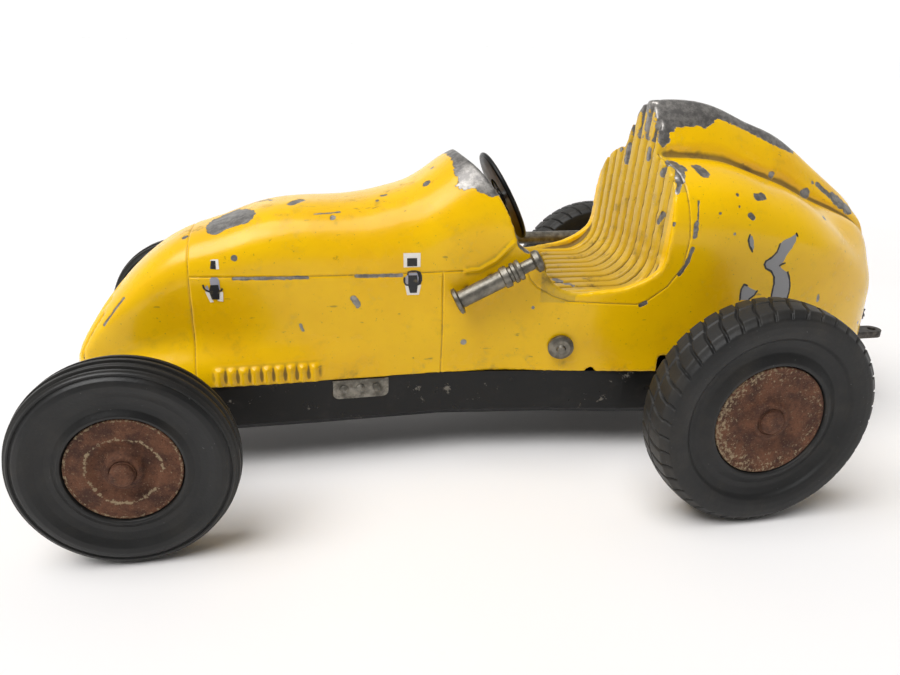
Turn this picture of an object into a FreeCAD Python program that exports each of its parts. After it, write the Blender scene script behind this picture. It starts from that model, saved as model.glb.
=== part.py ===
import FreeCAD, Part
import math
import os

# Friction toy racing car, in millimetres.
# Working frame while modelling: X = 0 at the front axle and grows towards the tail,
# Y = 0 on the centre plane (left side of the car is -Y), Z = 0 on the ground.
# place() shifts every finished piece so that the origin is under the middle of the car.

# ---- driving dimensions -------------------------------------------------------------
WHEELBASE = 145.4
FRONT_R = 24.0
REAR_R = 28.1
FRONT_TYRE_FACE = 56.0       # outer sidewall of the front tyres, from the centre plane
REAR_TYRE_FACE = 63.5
FRONT_TYRE_W = 10.6
REAR_TYRE_W = 12.8
FRONT_HUB_R = 12.1
REAR_HUB_R = 13.9
HUB_SETBACK = 1.3            # hub disc face behind the tyre face
LENGTH_TO_HITCH = 226.6
FRONT_AXLE_R = 1.6
REAR_AXLE_R = 2.0
RUN_GAP = 0.05               # radial clearance of every running fit
WALL = 2.6                   # casting wall
PAN_WALL = 1.8
EDGE_Z = 26.0                # where the casting meets the pan
PAN_FLOOR_Z = 11.6
SPRING_RATIO = 0.58          # height share at which the roof arch begins
FLARE = (2.5, 13.0)          # heights over the lower edge between which the sides flare out
MODULE = 0.6
GEAR_TEETH = 40
PINION_TEETH = 10
SEAT_THICK = 3.2
FIN_SOFTNESS = 0.68          # below 1 gives the fin steep sides and a round top
FIN_HOLLOW_FROM = 4.0        # half width of the hollow inside the fin where it is full height

X_SHIFT = -(LENGTH_TO_HITCH - FRONT_R) / 2.0

# profile curves of the casting, as (x, value) knots
CREST = [(-20.6, 30.0), (-19.8, 32.4), (-18.4, 35.2), (-16.0, 39.0), (-13.0, 43.4), (-9.8, 47.3),
         (-6.4, 50.9), (-3.4, 53.6), (0.2, 57.0), (4.5, 60.0), (11.1, 63.2), (21.0, 66.8),
         (39.3, 70.4), (52.5, 71.0), (65.9, 73.8), (74.1, 78.2), (80.1, 82.4), (90.0, 84.1),
         (112.0, 86.0), (128.0, 94.0), (135.0, 95.9), (144.5, 96.2), (157.1, 93.5),
         (170.6, 88.3), (184.9, 80.0), (196.6, 70.9), (205.0, 62.8), (211.0, 53.6), (214.2, 43.8),
         (215.6, 34.0)]
DECK = [knot for knot in CREST if knot[0] <= 80.1] + [
        (90.0, 83.6), (112.0, 82.9), (135.0, 82.6), (144.5, 82.2), (157.1, 79.8),
        (170.6, 75.2), (184.9, 68.2), (196.6, 60.4), (205.0, 53.4), (211.0, 46.0), (214.2, 38.4),
        (215.6, 31.0)]
WAIST = [(-20.6, 3.6), (-19.8, 6.4), (-18.2, 9.2), (-15.1, 11.4), (-8.1, 13.5), (0.2, 14.8),
         (11.1, 15.8), (25.0, 17.4), (40.0, 18.7), (55.0, 19.7), (74.1, 20.4), (90.0, 21.3),
         (100.0, 22.8), (110.0, 24.7), (120.0, 26.2), (131.0, 27.4), (145.0, 28.4), (160.0, 28.0),
         (172.0, 26.7), (184.9, 23.9), (196.2, 19.6), (205.0, 14.9), (211.0, 10.4), (214.2, 6.5),
         (215.6, 3.4)]
SKIRT = [(-20.6, 4.6), (-19.8, 7.4), (-18.2, 10.6), (-15.1, 13.4), (-8.1, 16.6), (0.2, 18.9),
         (11.1, 20.2), (18.0, 20.4), (55.0, 20.0), (74.0, 19.3), (90.0, 19.9), (100.0, 21.6),
         (107.0, 23.0), (118.0, 25.0), (131.0, 26.8), (145.0, 28.1), (160.0, 28.0), (172.0, 26.7),
         (184.9, 23.9), (196.2, 19.6), (205.0, 14.9), (211.0, 10.4), (214.2, 6.5), (215.6, 3.4)]
SQUARENESS = [(-20.6, 2.4), (0.0, 2.8), (11.1, 3.0), (60.0, 2.8), (80.0, 2.6), (110.0, 2.9),
              (135.0, 3.0), (160.0, 3.0), (190.0, 2.7), (215.6, 2.3)]
FIN_HALF = [(-20.6, 6.0), (100.0, 10.5), (138.0, 10.5), (160.0, 8.8), (184.9, 6.6), (205.0, 4.6),
            (215.6, 3.0)]
STATIONS = [-20.6, -19.8, -18.2, -15.1, -8.1, 0.2, 11.1, 25.0, 40.0, 55.0, 66.0, 74.1, 81.0,
            90.0, 101.0, 113.0, 124.0, 135.0, 146.0, 158.0, 171.0, 184.0, 196.0, 205.0, 211.0,
            214.2, 215.6]

V = FreeCAD.Vector
Y_AXIS, Z_AXIS = V(0, 1, 0), V(0, 0, 1)


# ---- general helpers ------------------------------------------------------------------
def blend(knots, x):
    """Value at x of a smooth, overshoot-free curve through the knots."""
    if x <= knots[0][0]:
        return knots[0][1]
    if x >= knots[-1][0]:
        return knots[-1][1]
    steps = [b[0] - a[0] for a, b in zip(knots, knots[1:])]
    slopes = [(b[1] - a[1]) / (b[0] - a[0]) for a, b in zip(knots, knots[1:])]

    def tangent(i):
        if i == 0:
            return slopes[0]
        if i == len(knots) - 1:
            return slopes[-1]
        before, after = slopes[i - 1], slopes[i]
        if before * after <= 0:
            return 0.0
        w_before = 2 * steps[i] + steps[i - 1]
        w_after = steps[i] + 2 * steps[i - 1]
        return (w_before + w_after) / (w_before / before + w_after / after)

    i = max(k for k in range(len(steps)) if knots[k][0] <= x)
    h = steps[i]
    s = (x - knots[i][0]) / h
    return (knots[i][1] * (2 * s ** 3 - 3 * s ** 2 + 1) + h * tangent(i) * (s ** 3 - 2 * s ** 2 + s)
            + knots[i + 1][1] * (3 * s ** 2 - 2 * s ** 3) + h * tangent(i + 1) * (s ** 3 - s ** 2))


def box(x0, x1, y0, y1, z0, z1):
    return Part.makeBox(x1 - x0, y1 - y0, z1 - z0, V(x0, y0, z0))


def rod(radius, start, end):
    """Solid cylinder from start to end."""
    along = end - start
    return Part.makeCylinder(radius, along.Length, start, along)


def rod_y(radius, x, z, y0, y1):
    return rod(radius, V(x, y0, z), V(x, y1, z))


def mirror_y(shape):
    return shape.mirror(V(0, 0, 0), Y_AXIS)


def join(shapes):
    first, rest = shapes[0], shapes[1:]
    return first.fuse(rest).removeSplitter() if rest else first


def plate_xz(points, y0, y1):
    """Flat plate whose outline is a closed polygon in the XZ plane."""
    corners = [V(x, y0, z) for x, z in points]
    face = Part.Face(Part.makePolygon(corners + corners[:1]))
    return face.extrude(V(0, y1 - y0, 0))


def turned(profile, centre, axis):
    """Solid of revolution: profile is a closed list of (distance along axis, radius)."""
    corners = [V(radius, 0, along) for along, radius in profile]
    face = Part.Face(Part.makePolygon(corners + corners[:1]))
    solid = face.revolve(V(0, 0, 0), Z_AXIS, 360)
    solid.Placement = FreeCAD.Placement(centre, FreeCAD.Rotation(Z_AXIS, axis))
    return solid


def place(shape, name):
    """Move a finished piece into the part's frame and write it."""
    moved = shape.copy()
    moved.translate(V(X_SHIFT, 0, 0))
    for solid in moved.Solids:
        if not solid.isValid():
            print("INVALID", name)
    moved.exportStep("parts/%s.step" % name)
    print("%-24s solids %d volume %.1f" % (name, len(moved.Solids), moved.Volume))


# ---- body casting ---------------------------------------------------------------------
def side_scale(spring):
    """Shrinks the flare where the side is too low to hold all of it."""
    return min(1.0, (spring - EDGE_Z) / 21.0)


def side_half(x, height, scale, inset=0.0):
    """Half width of the casting at a height over its lower edge."""
    waist = max(blend(WAIST, x) - inset, 0.6)
    skirt = max(blend(SKIRT, x) - inset, 0.7)
    share = (height / scale - FLARE[0]) / (FLARE[1] - FLARE[0])
    share = min(1.0, max(0.0, share))
    return waist + (skirt - waist) * 0.5 * (1 + math.cos(math.pi * share))


def half_section(x, inset, low_z):
    """(y, z) points of one side of the casting, from the lower edge up to the crest."""
    waist = max(blend(WAIST, x) - inset, 0.6)
    deck = blend(DECK, x) - inset
    power = 2.0 / blend(SQUARENESS, x)
    fin = blend(FIN_HALF, x) - 1.1 * inset
    rise = blend(CREST, x) - blend(DECK, x)
    if inset > 0:
        rise *= min(1.0, max(0.0, fin / FIN_HOLLOW_FROM))
        fin = max(fin, 1.5)
    spring = EDGE_Z + SPRING_RATIO * (deck - EDGE_Z)

    def roof(y):
        arch = (1 - (y / waist) ** (2.0 / power)) ** (power / 2.0)
        fin_arch = math.cos(0.5 * math.pi * min(1.0, y / fin)) ** FIN_SOFTNESS
        return spring + (deck - spring) * arch + rise * fin_arch

    scale = side_scale(spring)
    top = spring - EDGE_Z
    heights = [low_z - EDGE_Z] + [step * scale for step in (3.5, 6.5, 9.5, 13.0)]
    heights += [0.5 * (heights[-1] + top), top]
    points = [(side_half(x, height, scale, inset), EDGE_Z + height) for height in heights]
    for degrees in (14, 26, 36, 45):
        y = waist * math.cos(math.radians(degrees)) ** power
        points.append((y, roof(y)))
    shoulder = points[-1][0]
    fin = min(fin, 0.8 * shoulder)
    for share in (0.7, 0.4, 0.12):
        y = fin + (shoulder - fin) * share
        points.append((y, roof(y)))
    for share in (1.0, 0.94, 0.83, 0.68, 0.48, 0.25, 0.0):
        points.append((fin * share, roof(fin * share)))
    return points


def section_wire(x, inset, low_z):
    half = half_section(x, inset, low_z)
    left = [V(x, -y, z) for y, z in half]
    right = [V(x, y, z) for y, z in reversed(half[:-1])]
    curve = Part.BSplineCurve()
    curve.interpolate(left + right)
    arch = curve.toShape()
    base = Part.LineSegment(right[-1], left[0]).toShape()
    return Part.Wire([arch, base])


def body_loft(inset, low_z=EDGE_Z, start=STATIONS[0], end=STATIONS[-1]):
    """The casting's outside between two stations, moved in by inset."""
    first, last = STATIONS[0], STATIONS[-1]
    scale = (last - first - 2 * inset) / (last - first)
    wires = []
    for station in STATIONS:
        if start <= station <= end:
            x = first + inset + (station - first) * scale
            wires.append(section_wire(x, inset, low_z))
    return Part.makeLoft(wires, True, False)


SEAT_FRONT_X = 98.0
FOOTWELL = [(85.0, -6.0), (105.5, -6.0), (108.7, 0.0), (110.9, 8.3), (112.5, 16.0), (113.3, 21.5),
            (85.0, 21.5)]    # opening in front of the seat's floor, in plan
SEAT_Z = 48.2
SEAT_BEND_R = 9.5
SEAT_BACK_X = 131.7
SEAT_BEND_X = SEAT_BACK_X - SEAT_BEND_R
SEAT_TOP = (135.4, 99.0)
COWL_CURVE = [(78.0, 85.2), (80.6, 83.0), (84.6, 79.6), (88.0, 74.9), (91.0, 69.3), (93.2, 63.9),
              (93.8, 61.8)]
LIP_CURVE = [(93.8, 61.8), (95.8, 60.4), (99.0, 57.6), (101.8, 53.2), (105.9, 49.6), (110.2, 48.8),
             (115.1, 49.3), (122.1, 50.3), (125.9, 51.8), (129.6, 54.0), (132.0, 58.4)]


def smooth_edge(points):
    curve = Part.BSplineCurve()
    curve.interpolate([V(x, 0, z) for x, z in points])
    return curve.toShape()


def closed_prism(edges, half_width):
    wire = Part.Wire(Part.sortEdges(edges)[0])
    face = Part.Face(wire)
    face.translate(V(0, -half_width, 0))
    return face.extrude(V(0, 2 * half_width, 0))


def line_xz(a, b):
    return Part.LineSegment(V(a[0], 0, a[1]), V(b[0], 0, b[1])).toShape()


def seat_bend_edges(drop):
    """Seat profile of floor, bend and back, moved down and back by drop."""
    floor_z = SEAT_Z - drop
    front = (SEAT_FRONT_X, floor_z)
    bend_r = SEAT_BEND_R + drop
    back_x = SEAT_BACK_X + drop
    centre = (SEAT_BEND_X, floor_z + bend_r)
    half_turn = math.sin(math.radians(45)) * bend_r
    top = (SEAT_TOP[0] + drop, SEAT_TOP[1])
    bend = Part.Arc(V(SEAT_BEND_X, 0, floor_z),
                    V(centre[0] + half_turn, 0, centre[1] - half_turn),
                    V(back_x, 0, centre[1])).toShape()
    floor = line_xz(front, (SEAT_BEND_X, floor_z))
    return front, top, [floor, bend, line_xz((back_x, centre[1]), top)]


def cockpit_cutter(half_width):
    """Everything above the cockpit's lip, between the cowl's rear edge and the seat back."""
    roof_z = 110.0
    corners = [LIP_CURVE[-1], SEAT_TOP, (SEAT_TOP[0], roof_z), (COWL_CURVE[0][0], roof_z),
               COWL_CURVE[0]]
    edges = [smooth_edge(COWL_CURVE), smooth_edge(LIP_CURVE)]
    edges += [line_xz(a, b) for a, b in zip(corners, corners[1:])]
    return closed_prism(edges, half_width)


def seat_room():
    """Upright prism inside the cockpit's side walls."""
    rows = [(x, blend(WAIST, x) - RIB_WALL) for x in (96.0, 101.0, 106.0, 112.0, 118.0, 125.0, 140.0)]
    outline = [V(x, -half, 40) for x, half in rows] + [V(x, half, 40) for x, half in reversed(rows)]
    return Part.Face(Part.makePolygon(outline + outline[:1])).extrude(V(0, 0, 70))


def footwell():
    corners = [V(x, y, SEAT_Z - SEAT_THICK - 1.0) for x, y in FOOTWELL]
    return Part.Face(Part.makePolygon(corners + corners[:1])).extrude(V(0, 0, SEAT_THICK + 2.0))


def seat_hollow():
    """The room over the seat's floor and in front of its back, down to its surface."""
    front, top, seat = seat_bend_edges(0.0)
    corners = [top, (front[0], top[1]), front]
    edges = seat + [line_xz(a, b) for a, b in zip(corners, corners[1:])]
    return closed_prism(edges, 45).common(seat_room())


def seat_band(half_width):
    """The thickness of metal that the seat keeps under and behind its surface."""
    front, top, face_edges = seat_bend_edges(0.0)
    front_back, top_back, back_edges = seat_bend_edges(SEAT_THICK)
    edges = face_edges + back_edges + [line_xz(front, front_back), line_xz(top, top_back)]
    return closed_prism(edges, half_width)


RIB_PITCH = 4.7
RIB_COUNT = 11
RIB_GROOVE_W = 1.3
RIB_GROOVE_DEEP = 1.5
RIB_WALL = 2.2               # plain metal left between the outer ribs and the side


def seat_grooves():
    """The narrow channels between the seat's L-shaped ribs, kept inside the side walls."""
    front, top, face_edges = seat_bend_edges(-0.5)
    front_back, top_back, back_edges = seat_bend_edges(RIB_GROOVE_DEEP)
    edges = face_edges + back_edges + [line_xz(front, front_back), line_xz(top, top_back)]
    band = closed_prism(edges, RIB_GROOVE_W / 2)
    grooves = []
    for k in range(RIB_COUNT + 1):
        groove = band.copy()
        groove.translate(V(0, (k - RIB_COUNT / 2) * RIB_PITCH, 0))
        grooves.append(groove)
    return Part.makeCompound(grooves).common(seat_room())


LOUVRE_COUNT = 9
LOUVRE_PITCH = 2.97
LOUVRE_X = 16.85
GRILLE_SLOTS = 9
GRILLE_PITCH = 2.3
GRILLE_SLOT_W = 1.3
GRILLE_DEEP = 1.1
GRILLE_TOP_Z = 51.5
GRILLE_CROWN = 0.09
LOUVRE_Z = (26.2, 30.8)
LOUVRE_R = 0.95
LOUVRE_PROUD = V(0, 0.15, 0)
SCREW_POSTS = (20.0, 186.0)
POST_R = 3.6
POST_TAPER = 7.0             # height of a post's cone-shaped top
STUD_X, STUD_Z = 106.3, 33.8
STUD_STAND_OFF = 0.3         # lets the flat stud clear the curved side
AXLE_SLOT = 3.6
AXLE_SLOT_TOP = 32.2
ARCH_X = (133.6, 157.2)      # low step in the casting's edge over the rear axle
ARCH_TOP = 30.7
EDGE_NOTCH_X = 115.3
EDGE_NOTCH_R = 1.2


def grille_slots():
    """Upright slots sunk into the nose, longest in the middle."""
    slots = []
    for k in range(GRILLE_SLOTS):
        y = (k - (GRILLE_SLOTS - 1) / 2) * GRILLE_PITCH
        top = GRILLE_TOP_Z - GRILLE_CROWN * y * y
        slots.append(box(-25.0, -4.0, y - GRILLE_SLOT_W / 2, y + GRILLE_SLOT_W / 2, 31.0, top))
    skin = body_loft(GRILLE_DEEP, EDGE_Z - 1.0, STATIONS[0], 11.1)
    return Part.makeCompound(slots).cut(skin)


def louvres():
    """Upright half-round ribs low on both sides of the hood."""
    ribs = []
    for k in range(LOUVRE_COUNT):
        x = LOUVRE_X + k * LOUVRE_PITCH
        low = V(x, -body_side_y(x, LOUVRE_Z[0]), LOUVRE_Z[0])
        high = V(x, -body_side_y(x, LOUVRE_Z[1]), LOUVRE_Z[1])
        rib = rod(LOUVRE_R, low - LOUVRE_PROUD, high - LOUVRE_PROUD)
        ribs += [rib, mirror_y(rib)]
    return ribs


def screw_posts():
    """Cast posts that take the pan screws, from the pan's floor up into the roof. Their tops taper, so
    they end inside the roof's wall."""
    posts = []
    for x in SCREW_POSTS:
        foot_z = max(pan_floor(x - POST_R - PAN_WALL), pan_floor(x + POST_R + PAN_WALL)) + PAN_WALL + 0.1
        taper_z = blend(CREST, x) - WALL / 2 - 0.8 - POST_TAPER
        post = rod(POST_R, V(x, 0, foot_z), V(x, 0, taper_z))
        post = post.fuse(Part.makeCone(POST_R, POST_R / 2, POST_TAPER, V(x, 0, taper_z)))
        posts.append(post.cut(rod(SCREW_R, V(x, 0, 0), V(x, 0, foot_z + 14.0))))
    return posts


TAIL_CUT = ((213.0, 26.0), (215.4, 31.8))
TAIL_N = V(TAIL_CUT[1][1] - TAIL_CUT[0][1], 0, TAIL_CUT[0][0] - TAIL_CUT[1][0]).normalize()


def tail_face_x(z):
    """The sloping flat at the bottom of the tail, where the tow strap sits."""
    (x0, z0), (x1, z1) = TAIL_CUT
    return x0 + (x1 - x0) * (z - z0) / (z1 - z0)


def body_shell():
    shell = body_loft(0.0).fuse(louvres()).cut(grille_slots())
    inside = body_loft(WALL, EDGE_Z - 6.0)
    cavity = inside.cut(seat_band(45).cut(footwell()))
    shell = shell.cut(cavity)
    shell = shell.cut([cockpit_cutter(45), seat_hollow()])
    shell = shell.cut(seat_grooves())
    shell = shell.fuse(screw_posts())
    axle_slot = box(WHEELBASE - AXLE_SLOT, WHEELBASE + AXLE_SLOT, -40, 40, 20, AXLE_SLOT_TOP)
    arch = box(ARCH_X[0], ARCH_X[1], -40, 40, 20, ARCH_TOP)
    notch = rod_y(EDGE_NOTCH_R, EDGE_NOTCH_X, EDGE_Z, -40.0, -15.0)
    tail = plate_xz([(tail_face_x(20), 20), (230, 20), (230, 36), (tail_face_x(36), 36)], -20, 20)
    tail_hole = rod(TAIL_SCREW_R, tail_screw_seat(), tail_screw_seat() - TAIL_N * 12)
    shell = shell.cut([axle_slot, arch, notch, tail, tail_hole, stud_hole()])
    return shell.cut(pump_pin_holes() + pipe_pin_holes())


# ---- belly pan --------------------------------------------------------------------------
PAN_UNDER = [(-16.0, 22.0), (-10.0, 17.0), (0.0, 13.6), (15.0, PAN_FLOOR_Z), (40.0, PAN_FLOOR_Z),
             (75.0, PAN_FLOOR_Z), (105.0, PAN_FLOOR_Z), (125.0, PAN_FLOOR_Z), (145.0, PAN_FLOOR_Z),
             (158.0, PAN_FLOOR_Z), (170.0, 12.6), (182.0, 14.2), (196.0, 16.8), (206.0, 19.4)]
PAN_SET_IN = 0.5             # pan edge inside the casting's edge
PAN_TUMBLE = 1.6             # how far the pan narrows towards its floor
FLOOR_SKIM = 0.1             # taken off under the pan so that its middle is one true plane
TRAY_Z = PAN_FLOOR_Z + PAN_WALL


def pan_row(knots, x):
    """Straight run between the pan's stations, as the ruled pan has it."""
    for (x0, value0), (x1, value1) in zip(knots, knots[1:]):
        if x <= x1:
            return value0 + (value1 - value0) * (x - x0) / (x1 - x0)
    return knots[-1][1]


def pan_floor(x):
    return pan_row(PAN_UNDER, x)


def pan_half_width(x):
    return pan_row([(station, blend(SKIRT, station)) for station, _ in PAN_UNDER], x) - PAN_SET_IN


def pan_loft(inset, top_z):
    wires = []
    first, last = PAN_UNDER[0][0], PAN_UNDER[-1][0]
    squeeze = 1 - 2 * inset / (last - first)
    for station, under in PAN_UNDER:
        x = first + inset + (station - first) * squeeze
        half = max(blend(SKIRT, station) - PAN_SET_IN - inset, 1.5)
        floor = under + inset - FLOOR_SKIM
        foot = max(half - PAN_TUMBLE, 0.9)
        corner = min(2.5, 0.4 * (EDGE_Z - floor), 0.45 * foot)
        left = [V(x, -half, top_z), V(x, -half, EDGE_Z - 1.0), V(x, -foot - 0.4, floor + corner),
                V(x, -foot + corner, floor)]
        right = [V(x, -p.y, p.z) for p in reversed(left)]
        wires.append(Part.makePolygon(left + right + left[:1]))
    loft = Part.makeLoft(wires, True, True)
    return loft.cut(box(-40, 240, -50, 50, 0, PAN_FLOOR_Z + inset))


def pan_screw_seat(x):
    """Height of the recess floor that a pan screw's head bears on."""
    return max(pan_floor(x - PAN_HEAD_R) - FLOOR_SKIM, PAN_FLOOR_Z) + HEAD_SINK


def belly_pan():
    tray = pan_loft(0.0, EDGE_Z).cut(pan_loft(PAN_WALL, EDGE_Z + 4.0))
    for x in SCREW_POSTS:
        tray = tray.cut([rod(SCREW_R + 0.3, V(x, 0, 5), V(x, 0, 30)),
                         rod(PAN_HEAD_R + 0.2, V(x, 0, 5), V(x, 0, pan_screw_seat(x)))])
    for x, y in drive_feet():
        tray = tray.cut([rod(DRIVE_SCREW_R + 0.2, V(x, y, 5), V(x, y, 20)),
                         rod(DRIVE_HEAD_R + 0.2, V(x, y, 5), V(x, y, PAN_FLOOR_Z + HEAD_SINK))])
    tray = tray.cut(box(-FRONT_AXLE_R - 0.1, FRONT_AXLE_R + 0.1, -40, 40,
                        FRONT_R - FRONT_AXLE_R - 0.1, 40))
    return tray.cut(box(WHEELBASE - AXLE_SLOT, WHEELBASE + AXLE_SLOT, -40, 40, 25.0, 40))


# ---- trim on the body ---------------------------------------------------------------------
SILL_X = (45.2, 60.0)
SILL_Z = (20.2, 25.7)
SILL_T = 0.6
SILL_CORNER = 1.6
SILL_RIVETS = (48.2, 52.5, 56.8)
SILL_RIVET_Z = 23.2
RIVET_R = 1.15


def pan_side_y(x, z):
    """Half width of the pan's flank at height z, where the flank is straight."""
    half = pan_half_width(x)
    top, low = EDGE_Z - 1.0, PAN_FLOOR_Z - FLOOR_SKIM + 2.5
    if z >= top:
        return half
    return half - (PAN_TUMBLE - 0.4) * (top - z) / (top - low)


def flank_sheet(gap, thick):
    """Thin sheet lying on the pan's left flank over the sill plate's length."""
    wires = []
    for x in (SILL_X[0] - 1.0, SILL_X[1] + 1.0):
        inner = [V(x, -pan_side_y(x, z) - gap, z) for z in (EDGE_Z + 1.0, EDGE_Z - 1.0, SILL_Z[0] - 1.0)]
        outer = [V(p.x, p.y - thick, p.z) for p in reversed(inner)]
        wires.append(Part.makePolygon(inner + outer + inner[:1]))
    return Part.makeLoft(wires, True, True)


def sill_plate():
    (x0, x1), (z0, z1), c = SILL_X, SILL_Z, SILL_CORNER
    outline = [(x0, z1), (x1, z1)]
    for corner_x, first in ((x1 - c, 0), (x0 + c, -90)):
        for degrees in (0, -22, -45, -68, -90):
            turn = math.radians(degrees + first)
            outline.append((corner_x + c * math.cos(turn), z0 + c + c * math.sin(turn)))
    plate = flank_sheet(0.02, SILL_T).common(plate_xz(outline, -40, 0))
    for x in SILL_RIVETS:
        plate = plate.cut(rod_y(RIVET_R * 0.7, x, SILL_RIVET_Z, -40, 0))
    return plate


def sill_rivet(x):
    y = -pan_side_y(x, SILL_RIVET_Z) - SILL_T - 0.02
    head = turned([(0.0, 0.0), (0.0, RIVET_R), (0.3, RIVET_R), (0.6, 0.6 * RIVET_R), (0.65, 0.0)],
                  V(x, y - 0.12, SILL_RIVET_Z), V(0, -1, 0))
    shank = rod_y(RIVET_R * 0.7, x, SILL_RIVET_Z, y - 0.2, y + SILL_T + 0.1)
    return head.fuse(shank).removeSplitter()


PUMP_START = V(76.9, -24.3, 47.8)
PUMP_DIR = V(0.885, -0.07, 0.46).normalize()
PUMP_PROFILE = [(0.0, 0.0), (0.0, 2.9), (0.3, 3.5), (1.1, 3.5), (1.5, 2.25), (13.2, 2.25),
                (13.5, 2.85), (15.1, 2.85), (15.4, 2.15), (16.0, 2.15), (16.3, 2.75), (17.0, 2.75),
                (17.4, 2.4), (17.9, 2.75), (18.6, 2.75), (18.9, 1.6), (22.0, 1.6), (22.5, 2.9),
                (23.7, 2.9), (24.3, 2.4), (24.4, 0.0)]
PUMP_PINS = (4.5, 11.3)
PUMP_PIN_R = 0.8


def fuel_pump():
    pump = turned(PUMP_PROFILE, PUMP_START, PUMP_DIR)
    for along in PUMP_PINS:
        foot = PUMP_START + PUMP_DIR * along
        pump = pump.fuse(rod_y(PUMP_PIN_R, foot.x, foot.z, foot.y + 1.0, -18.5))
    return pump.removeSplitter()


def pump_pin_holes():
    holes = []
    for along in PUMP_PINS:
        foot = PUMP_START + PUMP_DIR * along
        holes.append(rod_y(PUMP_PIN_R, foot.x, foot.z, -30.0, -15.0))
    return holes


STUD_PROFILE = [(-3.2, 0.0), (-3.2, 1.2), (0.0, 1.2), (0.0, 3.45), (0.9, 3.45), (1.5, 2.5),
                (1.5, 1.3), (2.2, 1.0), (2.2, 0.0)]


def body_side_y(x, z):
    """Half width of the casting at a point low on its side."""
    spring = EDGE_Z + SPRING_RATIO * (blend(DECK, x) - EDGE_Z)
    return side_half(x, z - EDGE_Z, side_scale(spring))


def stud_frame():
    """Point on the casting's left side under the stud, and the outward normal there."""
    step = 3.0
    along = (body_side_y(STUD_X + step, STUD_Z) - body_side_y(STUD_X - step, STUD_Z)) / (2 * step)
    up = (body_side_y(STUD_X, STUD_Z + step) - body_side_y(STUD_X, STUD_Z - step)) / (2 * step)
    return V(STUD_X, -body_side_y(STUD_X, STUD_Z), STUD_Z), V(-along, -1, -up).normalize()


def stud_hole():
    foot, outward = stud_frame()
    return rod(STUD_PROFILE[1][1], foot + outward * 3.0, foot - outward * 8.0)


def side_stud():
    foot, outward = stud_frame()
    return turned(STUD_PROFILE, foot + outward * STUD_STAND_OFF, outward)


PIPE_R = 2.0
PIPE_Y, PIPE_Z = 32.6, 49.7
PIPE_X = (22.0, 186.0)
STUB_X = (22.0, 34.0, 46.0, 58.0)
STUB_R = 1.5
PIPE_PIN_X = (142.0, 170.0)
PIPE_PIN_R = 1.0


def pipe_pin_start(x):
    return body_side_y(x, PIPE_Z) - 3.5


def exhaust_pipe():
    pipe = rod(PIPE_R, V(PIPE_X[0] - 2.5, PIPE_Y, PIPE_Z), V(PIPE_X[1], PIPE_Y, PIPE_Z))
    for x in STUB_X:
        side_y = blend(WAIST, x)
        pipe = pipe.fuse(rod(STUB_R, V(x, side_y + 0.6, PIPE_Z), V(x, PIPE_Y, PIPE_Z)))
        pipe = pipe.fuse(rod(STUB_R + 0.7, V(x, side_y + 0.6, PIPE_Z), V(x, side_y + 1.6, PIPE_Z)))
    for x in PIPE_PIN_X:
        pipe = pipe.fuse(rod_y(PIPE_PIN_R, x, PIPE_Z, pipe_pin_start(x), PIPE_Y))
    mouth = rod(PIPE_R - 0.5, V(PIPE_X[1] - 8.0, PIPE_Y, PIPE_Z), V(PIPE_X[1] + 1, PIPE_Y, PIPE_Z))
    return pipe.removeSplitter().cut(mouth)


def pipe_pin_holes():
    return [rod_y(PIPE_PIN_R, x, PIPE_Z, 15.0, 40.0) for x in PIPE_PIN_X]


LUG_Z = 22.8
LUG_T = 2.2
LUG_HALF_W = 3.0
EYE_R = 1.3
STRAP_T = 1.4


def tail_screw_seat():
    """Point on the strap's outer face under the screw's head."""
    return V(tail_face_x(TAIL_SCREW_Z), 0, TAIL_SCREW_Z) + TAIL_N * (STRAP_T + 0.15)


def tail_lug():
    """Tow eye: a strap up the tail's sloping flat, bent to a flat tongue with a hole."""
    tongue_top = LUG_Z + LUG_T / 2
    tongue_low = LUG_Z - LUG_T / 2
    low = V(tail_face_x(EDGE_Z), 0, EDGE_Z) + TAIL_N * 0.05
    high = V(tail_face_x(32.6), 0, 32.6) + TAIL_N * 0.05
    outline = [(low.x, tongue_low), (low.x, low.z), (high.x, high.z),
               (high.x + TAIL_N.x * STRAP_T, high.z + TAIL_N.z * STRAP_T),
               (low.x + STRAP_T, low.z + TAIL_N.z * STRAP_T), (low.x + STRAP_T, tongue_low)]
    strap = plate_xz(outline, -LUG_HALF_W, LUG_HALF_W)
    tongue = box(206.4, LENGTH_TO_HITCH - LUG_HALF_W, -LUG_HALF_W, LUG_HALF_W, tongue_low, tongue_top)
    eye_x = LENGTH_TO_HITCH - LUG_HALF_W
    end = rod(LUG_HALF_W, V(eye_x, 0, tongue_low), V(eye_x, 0, tongue_top))
    lug = join([strap, tongue, end])
    lug = lug.cut(rod(EYE_R, V(eye_x, 0, 10), V(eye_x, 0, 30)))
    return lug.cut(rod(TAIL_SCREW_R, tail_screw_seat() + TAIL_N * 2, tail_screw_seat() - TAIL_N * 5))


SCREW_R = 1.3
PAN_HEAD_R = 2.6
DRIVE_HEAD_R = 1.8
HEAD_SINK = 1.0              # depth of the recesses for the screw heads under the pan
TAIL_SCREW_R = 1.0
TAIL_SCREW_Z = 30.2
DRIVE_SCREW_R = 0.9


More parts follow.
